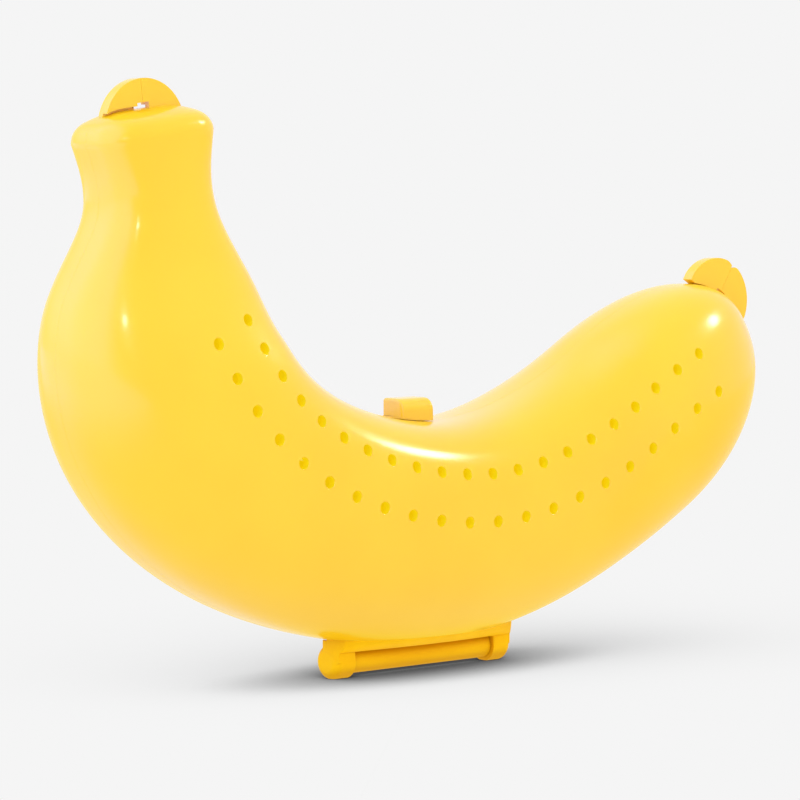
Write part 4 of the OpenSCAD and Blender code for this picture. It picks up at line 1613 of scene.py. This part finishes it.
@dataclass(frozen=True)
class Studio:
    """Pale floor, bright soft surround and the camera."""

    azimuth: float = -40.5
    elevation: float = 4.0
    distance: float = 0.9
    target: tuple[float, float, float] = (-0.00846, 0.0, 0.06855)
    focal_px: float = 3735.0
    frame_px: float = 800.0
    centre_px: tuple[float, float] = (399.4, 387.8)
    backdrop: str = "F5F5F5"
    ambient: float = 1.0
    shade_way: tuple[float, float] = (-60.0, 50.0)
    shade_reach: tuple[float, float] = (0.15, 0.04)
    broad_span: tuple[float, float] = (0.965, 0.105)
    broad_power: float = 2.0
    close_span: tuple[float, float] = (0.07, 0.53)
    close_least: float = 0.02
    cool_span: tuple[float, float] = (-0.12, -0.3)
    cool_most: float = 1.5
    behind_span: tuple[float, float] = (-0.04, 0.02)
    behind_least: float = 0.62
    green_share: float = 0.2
    floor_half: float = 6.0
    glows: tuple[Glow, ...] = (
        Glow(69.0, 33.0, 3.0, 3.0, 18.0),
        Glow(-7.0, 21.0, 1.4, 1.0, 36.0),
        Glow(-92.0, 34.0, 40.0, 34.0, 2.1, "4688FF"),
    )

    def light(self) -> None:
        """Makes the surround: an even glow with soft lights for reflections, and a plain backdrop."""
        world = bpy.data.worlds.new("studio_surround")
        bpy.context.scene.world = world
        world.use_nodes = True
        tree = world.node_tree
        tree.nodes.clear()
        way = add_node(tree, "ShaderNodeTexCoord").outputs["Generated"]
        total = (self.ambient,) * 3
        for glow in self.glows:
            axis = direction_from(glow.azimuth, glow.elevation)
            facing = add_node(tree, "ShaderNodeVectorMath", {"operation": "DOT_PRODUCT"}, {0: way, 1: axis})
            patch = add_node(tree, "ShaderNodeMapRange", {"interpolation_type": "SMOOTHSTEP"}, {
                "Value": facing.outputs["Value"], "From Min": math.cos(math.radians(glow.radius + glow.edge)),
                "From Max": math.cos(math.radians(glow.radius)), "To Min": 0.0, "To Max": glow.strength})
            patch = add_node(tree, "ShaderNodeVectorMath", {"operation": "SCALE"},
                             {0: linear(glow.colour)[:3], "Scale": patch.outputs["Result"]})
            total = add_node(tree, "ShaderNodeVectorMath", {"operation": "ADD"},
                             {0: total, 1: patch.outputs[0]}).outputs[0]
        lights = add_node(tree, "ShaderNodeBackground", None, {"Color": total, "Strength": 1.0})
        plain = add_node(tree, "ShaderNodeBackground", None, {"Color": linear(self.backdrop), "Strength": 1.0})
        seen = add_node(tree, "ShaderNodeLightPath").outputs["Is Camera Ray"]
        mix = add_node(tree, "ShaderNodeMixShader", None, {0: seen, 1: lights.outputs[0], 2: plain.outputs[0]})
        add_node(tree, "ShaderNodeOutputWorld", None, {"Surface": mix.outputs[0]})

    def floor(self) -> None:
        """Makes the pale floor, matt paper on which the part's soft shade is drawn."""
        half = self.floor_half
        data = bpy.data.meshes.new("studio_floor")
        data.from_pydata([(-half, -half, 0), (half, -half, 0), (half, half, 0), (-half, half, 0)], [], [(0, 1, 2, 3)])
        obj = Bench.add("studio_floor", data)
        material, tree = blank_material("paper_matt")
        # The paper is as bright as the backdrop, and darker the less of the light overhead reaches it
        way = add_node(tree, "ShaderNodeCombineXYZ", None, dict(enumerate(direction_from(*self.shade_way))))
        broad = add_node(tree, "ShaderNodeAmbientOcclusion", {"samples": 24},
                         {"Distance": self.shade_reach[0], "Normal": way.outputs[0]})
        lack = add_node(tree, "ShaderNodeMapRange", None,
                        {"Value": broad.outputs["AO"], "From Min": self.broad_span[0],
                         "From Max": self.broad_span[1]})
        lack = add_node(tree, "ShaderNodeMath", {"operation": "POWER"},
                        {0: lack.outputs["Result"], 1: self.broad_power})
        left = add_node(tree, "ShaderNodeMath", {"operation": "SUBTRACT"}, {0: 1.0, 1: lack.outputs[0]})
        close = add_node(tree, "ShaderNodeAmbientOcclusion", {"samples": 24}, {"Distance": self.shade_reach[1]})
        close = add_node(tree, "ShaderNodeMapRange", None,
                         {"Value": close.outputs["AO"], "From Min": self.close_span[0],
                          "From Max": self.close_span[1], "To Min": self.close_least})
        shade = add_node(tree, "ShaderNodeMath", {"operation": "MULTIPLY"},
                         {0: left.outputs[0], 1: close.outputs["Result"]})
        paper = add_node(tree, "ShaderNodeEmission", None,
                         {"Color": linear(self.backdrop), "Strength": shade.outputs[0]})
        # To the part the paper is evenly bright, and cooler on the side of the large panel
        spot = add_node(tree, "ShaderNodeTexCoord").outputs["Object"]
        side = add_node(tree, "ShaderNodeSeparateXYZ", None, {0: spot}).outputs[0]
        side = add_node(tree, "ShaderNodeMapRange", {"interpolation_type": "SMOOTHSTEP"},
                        {"Value": side, "From Min": self.cool_span[0], "From Max": self.cool_span[1],
                         "To Max": self.cool_most})
        cool = add_node(tree, "ShaderNodeVectorMath", {"operation": "SCALE"},
                        {0: linear(self.glows[-1].colour)[:3], "Scale": side.outputs["Result"]})
        # In the part's shine the paper in its shade, and behind it, is yellow from the light that the part sends down
        path = add_node(tree, "ShaderNodeLightPath")
        near = add_node(tree, "ShaderNodeVectorMath", {"operation": "DOT_PRODUCT"},
                        {0: spot, 1: tuple(direction_from(self.azimuth, 0.0))})
        near = add_node(tree, "ShaderNodeMapRange", {"interpolation_type": "SMOOTHSTEP"},
                        {"Value": near.outputs["Value"], "From Min": self.behind_span[0],
                         "From Max": self.behind_span[1], "To Min": self.behind_least})
        near = add_node(tree, "ShaderNodeMath", {"operation": "MULTIPLY"},
                        {0: near.outputs["Result"], 1: shade.outputs[0]})
        blue = add_node(tree, "ShaderNodeMix", {"data_type": "FLOAT"},
                        {0: path.outputs["Is Glossy Ray"], 2: 1.0, 3: near.outputs[0]})
        green = add_node(tree, "ShaderNodeMath", {"operation": "MULTIPLY_ADD"},
                         {0: blue.outputs[0], 1: self.green_share, 2: 1.0 - self.green_share})
        even = add_node(tree, "ShaderNodeCombineXYZ", None, {0: 1.0, 1: green.outputs[0], 2: blue.outputs[0]})
        even = add_node(tree, "ShaderNodeVectorMath", {"operation": "SCALE"},
                        {0: even.outputs[0], "Scale": self.ambient})
        cool = add_node(tree, "ShaderNodeVectorMath", {"operation": "ADD"}, {0: cool.outputs[0], 1: even.outputs[0]})
        fill = add_node(tree, "ShaderNodeEmission", None, {"Color": cool.outputs[0], "Strength": 1.0})
        seen = path.outputs["Is Camera Ray"]
        shader = add_node(tree, "ShaderNodeMixShader", None, {0: seen, 1: fill.outputs[0], 2: paper.outputs[0]})
        add_node(tree, "ShaderNodeOutputMaterial", None, {"Surface": shader.outputs[0]})
        data.materials.append(material)

    def camera(self) -> None:
        """Sets the camera at the photograph's angle."""
        data = bpy.data.cameras.new("studio_camera")
        data.sensor_width = 36.0
        data.lens = self.focal_px * data.sensor_width / self.frame_px
        data.clip_start, data.clip_end = 0.01, 50.0
        half = self.frame_px / 2
        data.shift_x = (half - self.centre_px[0]) / self.frame_px
        data.shift_y = (self.centre_px[1] - half) / self.frame_px
        obj = Bench.add("studio_camera", data)
        back = direction_from(self.azimuth, self.elevation)
        obj.location = Vector(self.target) + back * self.distance
        obj.rotation_euler = back.to_track_quat("Z", "Y").to_euler()
        bpy.context.scene.camera = obj
        bpy.context.scene.view_settings.view_transform = "Standard"


def main() -> None:
    """Builds the pieces in order, dresses them and sets the studio."""
    hinge = HingeSizes()
    pin_low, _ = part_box("hinge_pin")
    Bench.shift_x = pin_low[0] / MM - (hinge.knuckle_cap - hinge.half + 0.02)
    curve, latch = CaseCurve(), LatchSizes()
    gloss, satin = GlossPolypropylene().make(), SatinPolypropylene().make()
    inner, steel = InnerPolypropylene().make(), DrawnSteel().make()
    loft, rows = ShellLoft(), VentRows()
    for side in Side:
        shell = CaseShell(side, curve, hinge, latch, TabSizes(), VentSizes())
        shell.build(loft, rows, gloss)
        shell.dress(gloss, satin, inner)
    tongue = LatchTongue(curve, latch)
    tongue.build()
    tongue.dress(gloss)
    HingePin().dress(steel)
    studio = Studio()
    studio.light()
    studio.floor()
    studio.camera()


if __name__ == "__main__":
    main()
